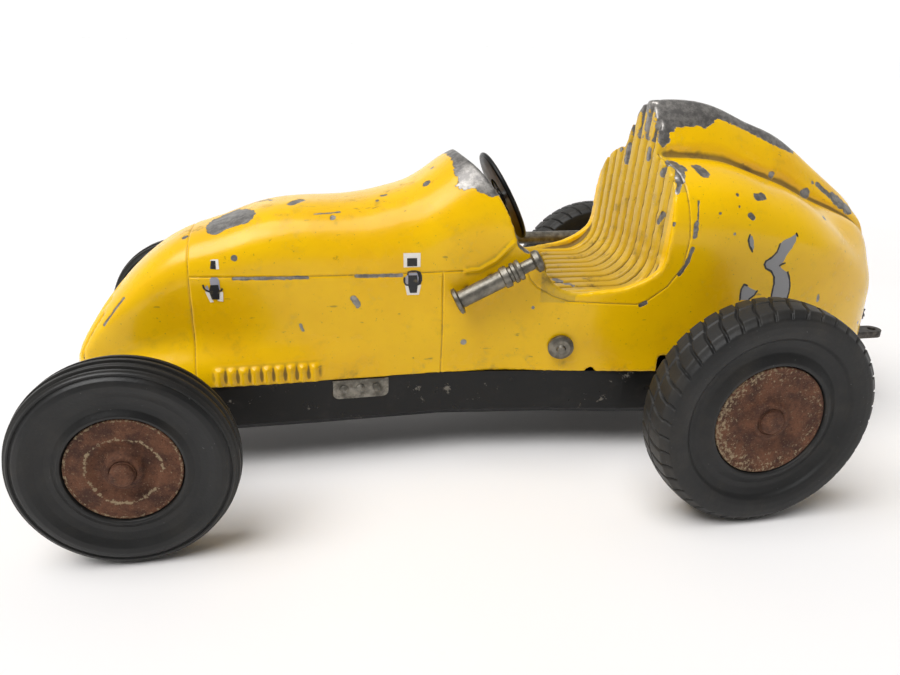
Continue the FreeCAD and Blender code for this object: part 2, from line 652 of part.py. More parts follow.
def screw(tip, direction, shank, radius, head_r, head_h):
    """Slotted round-head screw whose head sits at tip and whose shank runs along direction."""
    profile = [(shank, 0.0), (shank, radius), (0.0, radius), (0.0, head_r), (-0.5 * head_h, head_r),
               (-head_h, 0.6 * head_r), (-head_h, 0.0)]
    body = turned(profile, tip, direction)
    slot = Part.makeBox(0.5, 2.4 * head_r, 0.5 * head_h, V(-0.25, -1.2 * head_r, -0.5 * head_h))
    slot.Placement = FreeCAD.Placement(tip - direction * 0.75 * head_h,
                                       FreeCAD.Rotation(Z_AXIS, direction))
    return body.cut(slot)


def pan_screws():
    """Two screws up through the pan, their heads sunk in its floor."""
    return Part.makeCompound([screw(V(x, 0, pan_screw_seat(x)), Z_AXIS, 14.0, SCREW_R, PAN_HEAD_R, 0.9)
                              for x in SCREW_POSTS])


# ---- steering wheel ------------------------------------------------------------------------
WHEEL_C = V(94.5, 0, 70.1)
WHEEL_TILT = math.radians(26.6)
SHAFT_DIR = V(-math.cos(WHEEL_TILT), 0, -math.sin(WHEEL_TILT))
WHEEL_R = 13.1
RIM_W = 7.6
RIM_T = 1.3
STEER_SHAFT_R = 1.2
DASH_AT = 13.0               # distance from the wheel's centre to the dash bar, along the shaft


def steering_wheel():
    edge = RIM_T / 2
    rim = turned([(-edge, WHEEL_R - RIM_W), (-edge, WHEEL_R - 0.4), (-0.2, WHEEL_R), (0.2, WHEEL_R),
                  (edge, WHEEL_R - 0.4), (edge, WHEEL_R - RIM_W)], V(0, 0, 0), Z_AXIS)
    wheel = rim.fuse(Part.makeCylinder(2.6, 1.8, V(0, 0, -0.9)))
    for k in range(4):
        spoke = box(1.5, WHEEL_R - RIM_W + 0.5, -1.2, 1.2, -0.4, 0.4)
        spoke.rotate(V(0, 0, 0), Z_AXIS, 45 + 90 * k)
        wheel = wheel.fuse(spoke)
    wheel = wheel.removeSplitter().cut(Part.makeCylinder(STEER_SHAFT_R, 10, V(0, 0, -5)))
    wheel.Placement = FreeCAD.Placement(WHEEL_C, FreeCAD.Rotation(Z_AXIS, SHAFT_DIR))
    return wheel


def steering_shaft():
    profile = [(-1.6, 0.0), (-1.6, STEER_SHAFT_R), (DASH_AT + 3.2, STEER_SHAFT_R),
               (DASH_AT + 3.2, 0.0)]
    return turned(profile, WHEEL_C, SHAFT_DIR)


def steering_collar(inner, outer):
    """Ring pressed on the shaft on one side of the dash bar."""
    profile = [(inner, STEER_SHAFT_R), (inner, 2.1), (outer, 2.1), (outer, STEER_SHAFT_R)]
    return turned(profile, WHEEL_C, SHAFT_DIR)


def dash_bar(cavity):
    """Cross bar cast under the cowl that carries the steering shaft."""
    centre = WHEEL_C + SHAFT_DIR * DASH_AT
    bar = Part.makeBox(9.0, 60.0, 2.4, V(-4.5, -30.0, -1.2))
    bar.Placement = FreeCAD.Placement(centre, FreeCAD.Rotation(Z_AXIS, SHAFT_DIR)).multiply(bar.Placement)
    bore = rod(STEER_SHAFT_R + RUN_GAP, centre - SHAFT_DIR * 5, centre + SHAFT_DIR * 5)
    return bar.common(cavity).cut(bore)


# ---- wheels ----------------------------------------------------------------------------------
def mirrored_profile(points, middle):
    """Closed profile symmetric about y = middle, from its outer half."""
    return points + [(2 * middle - y, r) for y, r in reversed(points)]


def tyre(radius, face, width, hub_r, crown):
    """Solid rubber tyre of revolution on the left side; crown is the tread's half width."""
    middle = face - width / 2
    seat = face - HUB_SETBACK
    bore = hub_r - 2.4
    half = [(seat - 0.8, bore), (seat - 0.8, hub_r + 0.05), (face - 0.7, hub_r + 0.5),
            (face - 0.5, hub_r + 1.6), (face - 1.0, hub_r + 2.6), (face - 0.9, radius * 0.74),
            (face - 0.1, radius * 0.82), (face, radius * 0.87), (face - 0.6, radius * 0.93),
            (middle + crown + 0.5, radius * 0.965), (middle + crown, radius * 0.99),
            (middle + 0.4 * crown, radius)]
    profile = mirrored_profile(half, middle)
    return turned(profile, V(0, 0, 0), V(0, -1, 0))


def hub_disc(seat, hub_r, bush_r, boss):
    """Pressed steel disc with a raised centre; seat is its outer face's distance."""
    thick = 0.8
    profile = [(seat, hub_r), (seat, hub_r * 0.66), (seat - 0.5, hub_r * 0.6),
               (seat - 0.5, bush_r + 3.0), (seat - 0.5 + boss, bush_r + 2.2),
               (seat - 0.5 + boss, bush_r), (seat - 0.5 + boss - thick, bush_r),
               (seat - 0.5 + boss - thick, bush_r + 1.6), (seat - 0.5 - thick, bush_r + 2.4),
               (seat - 0.5 - thick, hub_r * 0.66), (seat - thick, hub_r * 0.72),
               (seat - thick, hub_r)]
    return turned(profile, V(0, 0, 0), V(0, -1, 0))


FRONT_BUSH_R = 2.6
REAR_BUSH_R = 3.2
FRONT_BOSS = 1.6
REAR_BOSS = 0.9


def front_wheel_pieces():
    middle = FRONT_TYRE_FACE - FRONT_TYRE_W / 2
    seat = FRONT_TYRE_FACE - HUB_SETBACK
    disc = hub_disc(seat, FRONT_HUB_R, FRONT_BUSH_R, FRONT_BOSS)
    inner = disc.mirror(V(0, -middle, 0), Y_AXIS)
    end = seat - 0.5 + FRONT_BOSS + 0.15
    start = 2 * middle - end
    bush = turned([(start, FRONT_AXLE_R + RUN_GAP), (end, FRONT_AXLE_R + RUN_GAP),
                   (end, FRONT_BUSH_R), (start, FRONT_BUSH_R)], V(0, 0, 0), V(0, -1, 0))
    rubber = tyre(FRONT_R, FRONT_TYRE_FACE, FRONT_TYRE_W, FRONT_HUB_R, 0.31 * FRONT_TYRE_W)
    pieces = {"front_tyre": rubber, "front_hub_outer": disc, "front_hub_inner": inner,
              "front_bush": bush}
    for piece in pieces.values():
        piece.translate(V(0, 0, FRONT_R))
    return pieces, start, end


def rear_wheel_pieces():
    middle = REAR_TYRE_FACE - REAR_TYRE_W / 2
    seat = REAR_TYRE_FACE - HUB_SETBACK
    disc = hub_disc(seat, REAR_HUB_R, REAR_BUSH_R, REAR_BOSS)
    inner = disc.mirror(V(0, -middle, 0), Y_AXIS)
    end = seat - 0.5 + REAR_BOSS
    start = 2 * middle - end
    bush = turned([(start, REAR_AXLE_R), (end, REAR_AXLE_R), (end, REAR_BUSH_R),
                   (start, REAR_BUSH_R)], V(0, 0, 0), V(0, -1, 0))
    rubber = tyre(REAR_R, REAR_TYRE_FACE, REAR_TYRE_W, REAR_HUB_R, 0.36 * REAR_TYRE_W)
    pieces = {"rear_tyre": rubber, "rear_hub_outer": disc, "rear_hub_inner": inner,
              "rear_bush": bush}
    for piece in pieces.values():
        piece.translate(V(WHEELBASE, 0, REAR_R))
    return pieces, start, end


def headed_axle(radius, head_r, reach, head, x, z):
    """Straight axle with an upset head at each end; reach is the heads' inner face."""
    half = [(0.0, 0.0), (0.0, radius), (reach, radius), (reach, head_r), (reach + 0.6 * head, head_r),
            (reach + head, 0.6 * head_r), (reach + head, 0.0)]
    left = turned(half, V(x, 0, z), V(0, -1, 0))
    return left.fuse(mirror_y(left)).removeSplitter()


# ---- axle supports -------------------------------------------------------------------------------
FRONT_BLOCK_Y = (9.5, 13.5)
REAR_BLOCK_Y = (17.5, 21.5)
FRONT_BLOCK_X = 4.0
REAR_BLOCK_X = 5.0


def axle_block(x, z, half_x, sides, bore):
    """Block standing on the pan's floor and shaped to it, bored for an axle."""
    top = z + bore + 1.8
    block = box(x - half_x, x + half_x, -sides[1], -sides[0], PAN_FLOOR_Z, top)
    return block.common(pan_loft(PAN_WALL + 0.02, 40.0)).cut(rod_y(bore, x, z, -30, 0))


# ---- friction drive ------------------------------------------------------------------------------
STAGE = MODULE * (GEAR_TEETH + PINION_TEETH) / 2.0
IDLER_X = WHEELBASE - STAGE
FLYWHEEL_X = IDLER_X - STAGE
PLATE_Y = 10.5
PLATE_T = 1.0
PLATE_X = (104.0, 155.0)
PLATE_Z = (TRAY_Z + 0.02, 36.0)
FLYWHEEL_R = 12.4
SHAFT_R = 1.0
DRIVE_GEAR_Y = (3.5, 6.5)
IDLER_GEAR_Y = (-1.5, 1.0)
FLYWHEEL_Y = (-9.2, -4.2)
SPACERS = ((105.8, 15.6), (122.9, 15.3), (153.0, 15.4))
SPACER_R = 1.6


def drive_feet():
    return [(x, side * (PLATE_Y + PLATE_T + 2.5)) for x in (112.0, 138.0) for side in (-1, 1)]


def involute_gear(teeth, face, bore):
    """Spur gear on +Y with tooth 0 pointing along +X."""
    pitch = MODULE * teeth / 2.0
    base = pitch * math.cos(math.radians(20))
    tip = pitch + 0.9 * MODULE
    root = pitch - 1.15 * MODULE
    inv = math.tan(math.radians(20)) - math.radians(20)
    half_pitch_angle = 0.42 * math.pi / teeth

    def half_angle(r):
        r = max(r, base)
        alpha = math.acos(base / r)
        return half_pitch_angle + inv - (math.tan(alpha) - alpha)

    radii = [root] + [max(base, root + 0.05) + (tip - max(base, root + 0.05)) * k / 4 for k in range(5)]
    outline = []
    for tooth in range(teeth):
        centre = 2 * math.pi * tooth / teeth
        rising = [(r, centre - half_angle(r)) for r in radii]
        falling = [(r, centre + half_angle(r)) for r in reversed(radii)]
        outline += rising + falling
    corners = [V(r * math.cos(a), 0, r * math.sin(a)) for r, a in outline]
    gear = Part.Face(Part.makePolygon(corners + corners[:1])).extrude(V(0, face[1] - face[0], 0))
    gear.translate(V(0, face[0], 0))
    return gear.cut(rod_y(bore, 0, 0, face[0] - 1, face[1] + 1))


def gear_at(teeth, face, bore, x, turn):
    """Gear on a shaft at x; turn is its rotation in tooth pitches."""
    gear = involute_gear(teeth, face, bore)
    gear.rotate(V(0, 0, 0), Y_AXIS, turn * 360.0 / teeth)
    gear.translate(V(x, 0, REAR_R))
    return gear


def drive_plate():
    """Left side plate of the drive, with its feet turned outwards."""
    plate = box(PLATE_X[0], PLATE_X[1], -PLATE_Y - PLATE_T, -PLATE_Y, PLATE_Z[0], PLATE_Z[1])
    for x, y in drive_feet():
        if y < 0:
            foot = box(x - 4, x + 4, -PLATE_Y - 5.5, -PLATE_Y - PLATE_T, PLATE_Z[0], PLATE_Z[0] + PLATE_T)
            plate = plate.fuse(foot).cut(rod(DRIVE_SCREW_R, V(x, y, 5), V(x, y, 30)))
    plate = plate.removeSplitter()
    plate = plate.cut(rod_y(REAR_AXLE_R + RUN_GAP, WHEELBASE, REAR_R, -30, 0))
    for x in (IDLER_X, FLYWHEEL_X):
        plate = plate.cut(rod_y(SHAFT_R + RUN_GAP, x, REAR_R, -30, 0))
    for x, z in SPACERS:
        plate = plate.cut(rod_y(SPACER_R * 0.6, x, z, -30, 0))
    return plate


def drive_spacer(x, z):
    """Turned spacer with a reduced end riveted through each plate."""
    neck = SPACER_R * 0.6
    half = [(0.0, 0.0), (0.0, SPACER_R), (PLATE_Y, SPACER_R), (PLATE_Y, neck),
            (PLATE_Y + PLATE_T, neck), (PLATE_Y + PLATE_T, 1.4), (PLATE_Y + PLATE_T + 0.5, 1.0),
            (PLATE_Y + PLATE_T + 0.5, 0.0)]
    left = turned(half, V(x, 0, z), V(0, -1, 0))
    return left.fuse(mirror_y(left)).removeSplitter()


def drive_shaft(x):
    return rod_y(SHAFT_R, x, REAR_R, -PLATE_Y - PLATE_T - 0.8, PLATE_Y + PLATE_T + 0.8)


def flywheel():
    profile = [(FLYWHEEL_Y[0], SHAFT_R), (FLYWHEEL_Y[1], SHAFT_R), (FLYWHEEL_Y[1], 3.0),
               (FLYWHEEL_Y[1] - 1.0, 4.5), (FLYWHEEL_Y[1] - 1.0, 8.5), (FLYWHEEL_Y[1], 9.5),
               (FLYWHEEL_Y[1], FLYWHEEL_R), (FLYWHEEL_Y[0], FLYWHEEL_R)]
    return turned(profile, V(FLYWHEEL_X, 0, REAR_R), Y_AXIS)


def collar(x, z, y0, y1, bore, radius):
    return rod_y(radius, x, z, y0, y1).cut(rod_y(bore, x, z, y0 - 1, y1 + 1))


def small_pieces():
    """Every node except the body casting, by name."""
    nodes = {"belly_pan": belly_pan(), "fuel_pump": fuel_pump(), "side_stud_left": side_stud(),
             "exhaust_pipe": exhaust_pipe(), "tail_lug": tail_lug(), "pan_screws": pan_screws()}
    plate = sill_plate()
    nodes["sill_plate_left"] = plate
    nodes["sill_plate_right"] = mirror_y(plate)
    rivets = [sill_rivet(x) for x in SILL_RIVETS]
    nodes["sill_rivets"] = Part.makeCompound(rivets + [mirror_y(rivet) for rivet in rivets])
    nodes["tail_screw"] = screw(tail_screw_seat(), -TAIL_N, 5.0, TAIL_SCREW_R, 1.9, 2.8)

    nodes["steering_wheel"] = steering_wheel()
    nodes["steering_shaft"] = steering_shaft()
    nodes["steering_collars"] = Part.makeCompound([steering_collar(DASH_AT - 2.6, DASH_AT - 1.4),
                                                   steering_collar(DASH_AT + 1.4, DASH_AT + 2.6)])
    nodes["dash_bar"] = dash_bar(body_loft(WALL + 0.02, EDGE_Z, 66.0, 124.0))

    front, start, end = front_wheel_pieces()
    rear, _, rear_end = rear_wheel_pieces()
    for pieces in (front, rear):
        for name, shape in pieces.items():
            nodes[name + "_left"] = shape
            nodes[name + "_right"] = mirror_y(shape)
    axle = headed_axle(FRONT_AXLE_R, 2.5, end + 0.25, 1.5, 0.0, FRONT_R)
    nodes["front_axle"] = axle
    stops = [collar(0, FRONT_R, -start + 0.3, -start + 2.3, FRONT_AXLE_R, 3.0)]
    nodes["front_axle_collars"] = Part.makeCompound(stops + [mirror_y(stops[0])])
    nodes["rear_axle"] = headed_axle(REAR_AXLE_R, 2.9, rear_end, 1.2, WHEELBASE, REAR_R)

    block = axle_block(0.0, FRONT_R, FRONT_BLOCK_X, FRONT_BLOCK_Y, FRONT_AXLE_R)
    nodes["front_axle_block_left"] = block
    nodes["front_axle_block_right"] = mirror_y(block)
    block = axle_block(WHEELBASE, REAR_R, REAR_BLOCK_X, REAR_BLOCK_Y, REAR_AXLE_R + RUN_GAP)
    nodes["rear_bearing_left"] = block
    nodes["rear_bearing_right"] = mirror_y(block)
    ring = collar(WHEELBASE, REAR_R, -25.3, -22.3, REAR_AXLE_R, 3.4)
    nodes["rear_axle_collars"] = Part.makeCompound([ring, mirror_y(ring)])

    plate = drive_plate()
    nodes["drive_plate_left"] = plate
    nodes["drive_plate_right"] = mirror_y(plate)
    nodes["drive_spacers"] = Part.makeCompound([drive_spacer(x, z) for x, z in SPACERS])
    nodes["drive_screws"] = Part.makeCompound(
        [screw(V(x, y, PAN_FLOOR_Z + HEAD_SINK), Z_AXIS, 4.2, DRIVE_SCREW_R, DRIVE_HEAD_R, 0.8)
         for x, y in drive_feet()])
    nodes["drive_gear"] = gear_at(GEAR_TEETH, DRIVE_GEAR_Y, REAR_AXLE_R, WHEELBASE, 0.0)
    nodes["idler_shaft"] = drive_shaft(IDLER_X)
    nodes["idler_pinion"] = gear_at(PINION_TEETH, (DRIVE_GEAR_Y[0] - 0.5, DRIVE_GEAR_Y[1] + 0.5),
                                    SHAFT_R, IDLER_X, 0.5)
    nodes["idler_gear"] = gear_at(GEAR_TEETH, IDLER_GEAR_Y, SHAFT_R, IDLER_X, 0.0)
    nodes["flywheel_shaft"] = drive_shaft(FLYWHEEL_X)
    nodes["flywheel_pinion"] = gear_at(PINION_TEETH, (IDLER_GEAR_Y[0] - 0.5, IDLER_GEAR_Y[1] + 0.5),
                                       SHAFT_R, FLYWHEEL_X, 0.5)
    nodes["flywheel"] = flywheel()
    return nodes


if __name__ == "__main__":
    os.makedirs("parts", exist_ok=True)
    for name, shape in small_pieces().items():
        place(shape, name)
    place(body_shell(), "body_shell")
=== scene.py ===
import math

import bmesh
import bpy
import numpy as np
from mathutils import Matrix, Vector
from mathutils.bvhtree import BVHTree


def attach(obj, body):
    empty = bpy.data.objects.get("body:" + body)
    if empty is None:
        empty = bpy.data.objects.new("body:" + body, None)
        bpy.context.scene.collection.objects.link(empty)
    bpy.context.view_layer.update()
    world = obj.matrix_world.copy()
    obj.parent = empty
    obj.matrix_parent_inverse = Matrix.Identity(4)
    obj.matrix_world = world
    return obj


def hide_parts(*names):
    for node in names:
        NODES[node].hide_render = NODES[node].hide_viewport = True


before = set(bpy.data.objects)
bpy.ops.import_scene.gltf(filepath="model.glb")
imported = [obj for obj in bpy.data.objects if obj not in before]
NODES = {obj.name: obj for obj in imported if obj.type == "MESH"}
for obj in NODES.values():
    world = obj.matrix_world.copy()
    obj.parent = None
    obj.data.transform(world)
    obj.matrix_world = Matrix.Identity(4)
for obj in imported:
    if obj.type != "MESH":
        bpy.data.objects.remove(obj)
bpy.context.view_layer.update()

# All positions given below are in millimetres: x back from the front axle, y to the right,
# z up from the ground.
MM = 0.001
FRONT_AXLE_X = -101.3
WHEELBASE = 145.4
SKIN_VOXEL = 0.45 * MM


def at(x, y, z):
    """A given position as a point of the frame, in metres."""
    return np.array([x + FRONT_AXLE_X, y, z]) * MM


def in_mm(points):
    """Frame points in metres as given positions."""
    return np.asarray(points) / MM - np.array([FRONT_AXLE_X, 0.0, 0.0])


# ---- material helpers --------------------------------------------------------------------
class Shader:
    """A material's node tree with short calls for the few node types used here."""

    def __init__(self, name):
        self.material = bpy.data.materials.new(name)
        self.material.use_nodes = True
        self.tree = self.material.node_tree
        self.surface = self.tree.nodes["Principled BSDF"]
        self.place = self.node("ShaderNodeTexCoord").outputs["Object"]

    def node(self, kind, **settings):
        made = self.tree.nodes.new(kind)
        for key, value in settings.items():
            setattr(made, key, value)
        return made

    def feed(self, socket, value):
        if isinstance(value, bpy.types.NodeSocket):
            self.tree.links.new(value, socket)
        else:
            socket.default_value = value

    def math(self, operation, a, b=0.0, c=0.0):
        made = self.node("ShaderNodeMath", operation=operation)
        for socket, value in zip(made.inputs, (a, b, c)):
            self.feed(socket, value)
        return made.outputs[0]

    def ramp(self, value, low, high, out_low=0.0, out_high=1.0):
        """Smooth step of value from out_low at low to out_high at high."""
        made = self.node("ShaderNodeMapRange", interpolation_type="SMOOTHSTEP")
        for socket, number in zip(made.inputs, (value, low, high, out_low, out_high)):
            self.feed(socket, number)
        return made.outputs[0]

    def noise(self, scale, detail=3.0, rough=0.55, where=None):
        made = self.node("ShaderNodeTexNoise")
        self.feed(made.inputs["Vector"], where or self.place)
        made.inputs["Scale"].default_value = scale
        made.inputs["Detail"].default_value = detail
        made.inputs["Roughness"].default_value = rough
        return made.outputs["Fac"]

    def cells(self, scale):
        """Distance to the nearest of scattered points, and a number of its own for each."""
        made = self.node("ShaderNodeTexVoronoi")
        self.feed(made.inputs["Vector"], self.place)
        made.inputs["Scale"].default_value = scale
        split = self.node("ShaderNodeSeparateColor")
        self.feed(split.inputs[0], made.outputs["Color"])
        return made.outputs["Distance"], split.outputs[0]

    def stretched(self, factors):
        """Object coordinates scaled per axis, for streaks."""
        made = self.node("ShaderNodeMapping")
        self.feed(made.inputs["Vector"], self.place)
        made.inputs["Scale"].default_value = factors
        return made.outputs[0]

    def attribute(self, name):
        return self.node("ShaderNodeAttribute", attribute_name=name).outputs["Fac"]

    def mix(self, amount, first, second):
        made = self.node("ShaderNodeMix", data_type="RGBA")
        self.feed(made.inputs[0], amount)
        for socket, value in zip(made.inputs[6:8], (first, second)):
            self.feed(socket, value)
        return made.outputs[2]

    def blend(self, amount, first, second):
        made = self.node("ShaderNodeMix", data_type="FLOAT")
        for index, value in zip((0, 2, 3), (amount, first, second)):
            self.feed(made.inputs[index], value)
        return made.outputs[0]

    def bump(self, height, depth, below=None):
        made = self.node("ShaderNodeBump")
        made.inputs["Strength"].default_value = 1.0
        made.inputs["Distance"].default_value = depth
        self.feed(made.inputs["Height"], height)
        if below is not None:
            self.feed(made.inputs["Normal"], below)
        return made.outputs[0]

    def set(self, **sockets):
        for key, value in sockets.items():
            self.feed(self.surface.inputs[key.replace("_", " ")], value)
        return self.material


def grey(value):
    return (value, value, value, 1.0)


# ---- the materials ---------------------------------------------------------------------------
YELLOW = (0.94, 0.56, 0.001, 1.0)
YELLOW_DEEP = (0.85, 0.47, 0.001, 1.0)
# Darker, duller yellow for the seat: painted shade of the cockpit.
SEAT_SHADE_YELLOW = (0.66, 0.42, 0.03, 1.0)
SCUFF = (0.12, 0.055, 0.012, 1.0)
# Dark brown for dust, pits and scratches, also used as painted shade in recesses.
GRIME_AND_SHADE = (0.10, 0.065, 0.03, 1.0)
ZINC = (0.20, 0.19, 0.183, 1.0)
ZINC_LIGHT = (0.40, 0.38, 0.355, 1.0)
SILVER_INK = (0.30, 0.30, 0.31, 1.0)
BLACK_INK = (0.012, 0.012, 0.014, 1.0)


def enamel_on_casting():
    s = Shader("yellow_enamel_on_casting")
    edge_noise = s.noise(620.0, 4.0, 0.6)
    wobble = s.math("MULTIPLY_ADD", edge_noise, 4.0, -2.0)
    chip_edge = s.math("ADD", s.attribute("chip"), wobble)
    big_chips = s.ramp(chip_edge, 0.16, -0.16)
    distance, own = s.cells(330.0)
    rare = s.math("LESS_THAN", own, 0.022)
    size = s.math("MULTIPLY_ADD", own, 9.0, 0.10)
    tiny = s.math("MULTIPLY", rare, s.math("LESS_THAN", distance, size))
    bare = s.math("MAXIMUM", big_chips, tiny)

    digit = s.attribute("digit")
    worn = s.math("ADD", digit, s.math("MULTIPLY_ADD", s.noise(900.0), 0.5, -0.25))
    silver = s.ramp(worn, 0.03, -0.03)
    ink_edge = s.math("MULTIPLY_ADD", s.noise(900.0), 0.4, -0.2)
    edging = s.ramp(s.math("ADD", s.attribute("digit_ink"), ink_edge), 0.03, -0.03)

    cloud = s.noise(38.0, 4.0, 0.6)
    colour = s.mix(s.ramp(cloud, 0.35, 0.75), YELLOW, YELLOW_DEEP)
    # The seat takes the darker yellow: painted cockpit shade.
    colour = s.mix(s.math("MULTIPLY", s.attribute("seat"), 0.80), colour, SEAT_SHADE_YELLOW)
    # Patchy darkening: dust, and on the seat and in hollows painted shade as well.
    dust = s.math("MULTIPLY", s.ramp(s.noise(160.0, 5.0, 0.7), 0.52, 0.78), s.attribute("dust_and_shade"))
    colour = s.mix(dust, colour, GRIME_AND_SHADE)
    scuffed = s.math("MULTIPLY", s.ramp(s.noise(330.0, 8.0, 0.8), 0.615, 0.66), s.attribute("scuff"))
    colour = s.mix(scuffed, colour, SCUFF)
    pits = s.math("MULTIPLY", s.ramp(s.noise(1500.0, 2.0), 0.70, 0.76), 0.55)
    colour = s.mix(pits, colour, GRIME_AND_SHADE)
    streaks = s.noise(900.0, 3.0, 0.5, s.stretched((0.22, 1.0, 0.9)))
    scratch = s.math("MULTIPLY", s.ramp(streaks, 0.70, 0.74), 0.5)
    colour = s.mix(scratch, colour, GRIME_AND_SHADE)
    # Recesses darkened: dirt and painted shade in the seams, louvres and seat grooves.
    colour = s.mix(s.ramp(s.attribute("hollow"), 0.10, 0.80, 0.0, 0.80), colour, GRIME_AND_SHADE)
    colour = s.mix(silver, colour, SILVER_INK)
    colour = s.mix(edging, colour, BLACK_INK)
    rim = s.math("MULTIPLY", s.ramp(chip_edge, 0.75, 0.2), 0.35)
    colour = s.mix(rim, colour, YELLOW_DEEP)
    metal_tone = s.mix(s.ramp(s.noise(520.0, 6.0, 0.75), 0.38, 0.66), ZINC, ZINC_LIGHT)
    colour = s.mix(bare, colour, metal_tone)

    roughness = s.blend(s.ramp(cloud, 0.3, 0.8), 0.20, 0.32)
    roughness = s.blend(s.math("MAXIMUM", dust, s.attribute("hollow")), roughness, 0.7)
    roughness = s.blend(bare, roughness, 0.46)
    paint_skin = s.math("SUBTRACT", 1.0, bare)
    normal = s.bump(s.noise(120.0, 2.0), 0.00008)
    normal = s.bump(paint_skin, 0.00016, normal)
    return s.set(Base_Color=colour, Roughness=roughness, Metallic=s.math("MULTIPLY", bare, 0.9),
                 Coat_Weight=0.12, Coat_Roughness=0.10, Specular_IOR_Level=0.28, Normal=normal)


def rubber(name, dust_amount, shine):
    s = Shader(name)
    dust = s.math("MULTIPLY", s.ramp(s.noise(90.0, 5.0, 0.65), 0.42, 0.75), dust_amount)
    colour = s.mix(s.noise(240.0, 4.0), grey(0.007), grey(0.014))
    colour = s.mix(s.math("MULTIPLY", s.attribute("tread"), 0.5), colour, (0.022, 0.020, 0.017, 1.0))
    colour = s.mix(dust, colour, (0.080, 0.066, 0.048, 1.0))
    specks = s.math("MULTIPLY", s.ramp(s.noise(1300.0, 2.0), 0.73, 0.77), 0.35)
    colour = s.mix(specks, colour, grey(0.16))
    roughness = s.blend(s.noise(150.0, 4.0), shine, shine + 0.2)
    normal = s.bump(s.noise(1500.0, 3.0), 0.00005)
    return s.set(Base_Color=colour, Roughness=roughness, Specular_IOR_Level=0.40, Normal=normal)


def rusty_steel():
    s = Shader("rusty_steel")
    patches = s.noise(230.0, 6.0, 0.7)
    colour = s.mix(s.ramp(patches, 0.35, 0.65), (0.060, 0.025, 0.016, 1), (0.165, 0.070, 0.038, 1))
    grain = s.noise(2400.0, 3.0, 0.7)
    colour = s.mix(s.ramp(grain, 0.58, 0.74), colour, (0.26, 0.17, 0.10, 1))
    colour = s.mix(s.ramp(grain, 0.42, 0.28), colour, (0.03, 0.014, 0.01, 1))
    rubbed = s.math("MULTIPLY_ADD", s.attribute("worn"), 0.34, s.noise(1300.0, 4.0, 0.65))
    colour = s.mix(s.math("MULTIPLY", s.ramp(rubbed, 0.64, 0.76), 0.85), colour, (0.36, 0.28, 0.17, 1))
    normal = s.bump(s.noise(700.0, 6.0, 0.75), 0.00022)
    return s.set(Base_Color=colour, Roughness=s.blend(patches, 0.55, 0.85), Metallic=0.25,
                 Specular_IOR_Level=0.35, Normal=normal)


def cast_metal(name, dark, light, rough, shine, stained=0.3):
    s = Shader(name)
    tone = s.noise(420.0, 5.0, 0.65)
    colour = s.mix(s.ramp(tone, 0.36, 0.68), dark, light)
    stain = s.math("MULTIPLY", s.ramp(s.noise(150.0, 4.0), 0.56, 0.72), stained)
    colour = s.mix(stain, colour, (0.09, 0.075, 0.05, 1))
    normal = s.bump(s.noise(1500.0, 4.0, 0.7), 0.00005)
    return s.set(Base_Color=colour, Roughness=s.blend(tone, rough, rough + 0.2), Metallic=shine,
                 Normal=normal)


def chipped_black(name, chips):
    s = Shader(name)
    wear = s.ramp(s.noise(260.0, 6.0, 0.72), chips, chips + 0.05)
    colour = s.mix(s.noise(80.0, 4.0), grey(0.005), grey(0.009))
    dust = s.math("MULTIPLY", s.ramp(s.noise(110.0, 5.0, 0.7), 0.5, 0.8), 0.15)
    colour = s.mix(dust, colour, (0.075, 0.065, 0.055, 1))
    colour = s.mix(wear, colour, (0.17, 0.155, 0.13, 1))
    roughness = s.blend(s.noise(170.0, 4.0), 0.2, 0.42)
    normal = s.bump(s.math("SUBTRACT", 1.0, wear), 0.0001, s.bump(s.noise(300.0), 0.00006))
    return s.set(Base_Color=colour, Roughness=roughness, Specular_IOR_Level=0.26, Normal=normal)


def ink(name, colour_value):
    s = Shader(name)
    colour = s.mix(s.math("MULTIPLY", s.ramp(s.noise(900.0, 3.0), 0.55, 0.75), 0.35), colour_value,
                   (0.35, 0.27, 0.12, 1))
    return s.set(Base_Color=colour, Roughness=s.blend(s.noise(300.0), 0.35, 0.5))


def floor_paper():
    s = Shader("white_paper")
    colour = s.mix(s.ramp(s.noise(6.0, 3.0), 0.3, 0.7), (0.90, 0.88, 0.87, 1), (0.92, 0.905, 0.90, 1))
    away = s.node("ShaderNodeVectorMath", operation="LENGTH")
    s.feed(away.inputs[0], s.place)
    # The paper is painted whiter away from the car: painted light that fades the floor into the white sky.
    colour = s.mix(s.ramp(away.outputs["Value"], 0.12, 0.9), colour, grey(1.0))
    return s.set(Base_Color=colour, Roughness=0.85, Specular_IOR_Level=0.2)


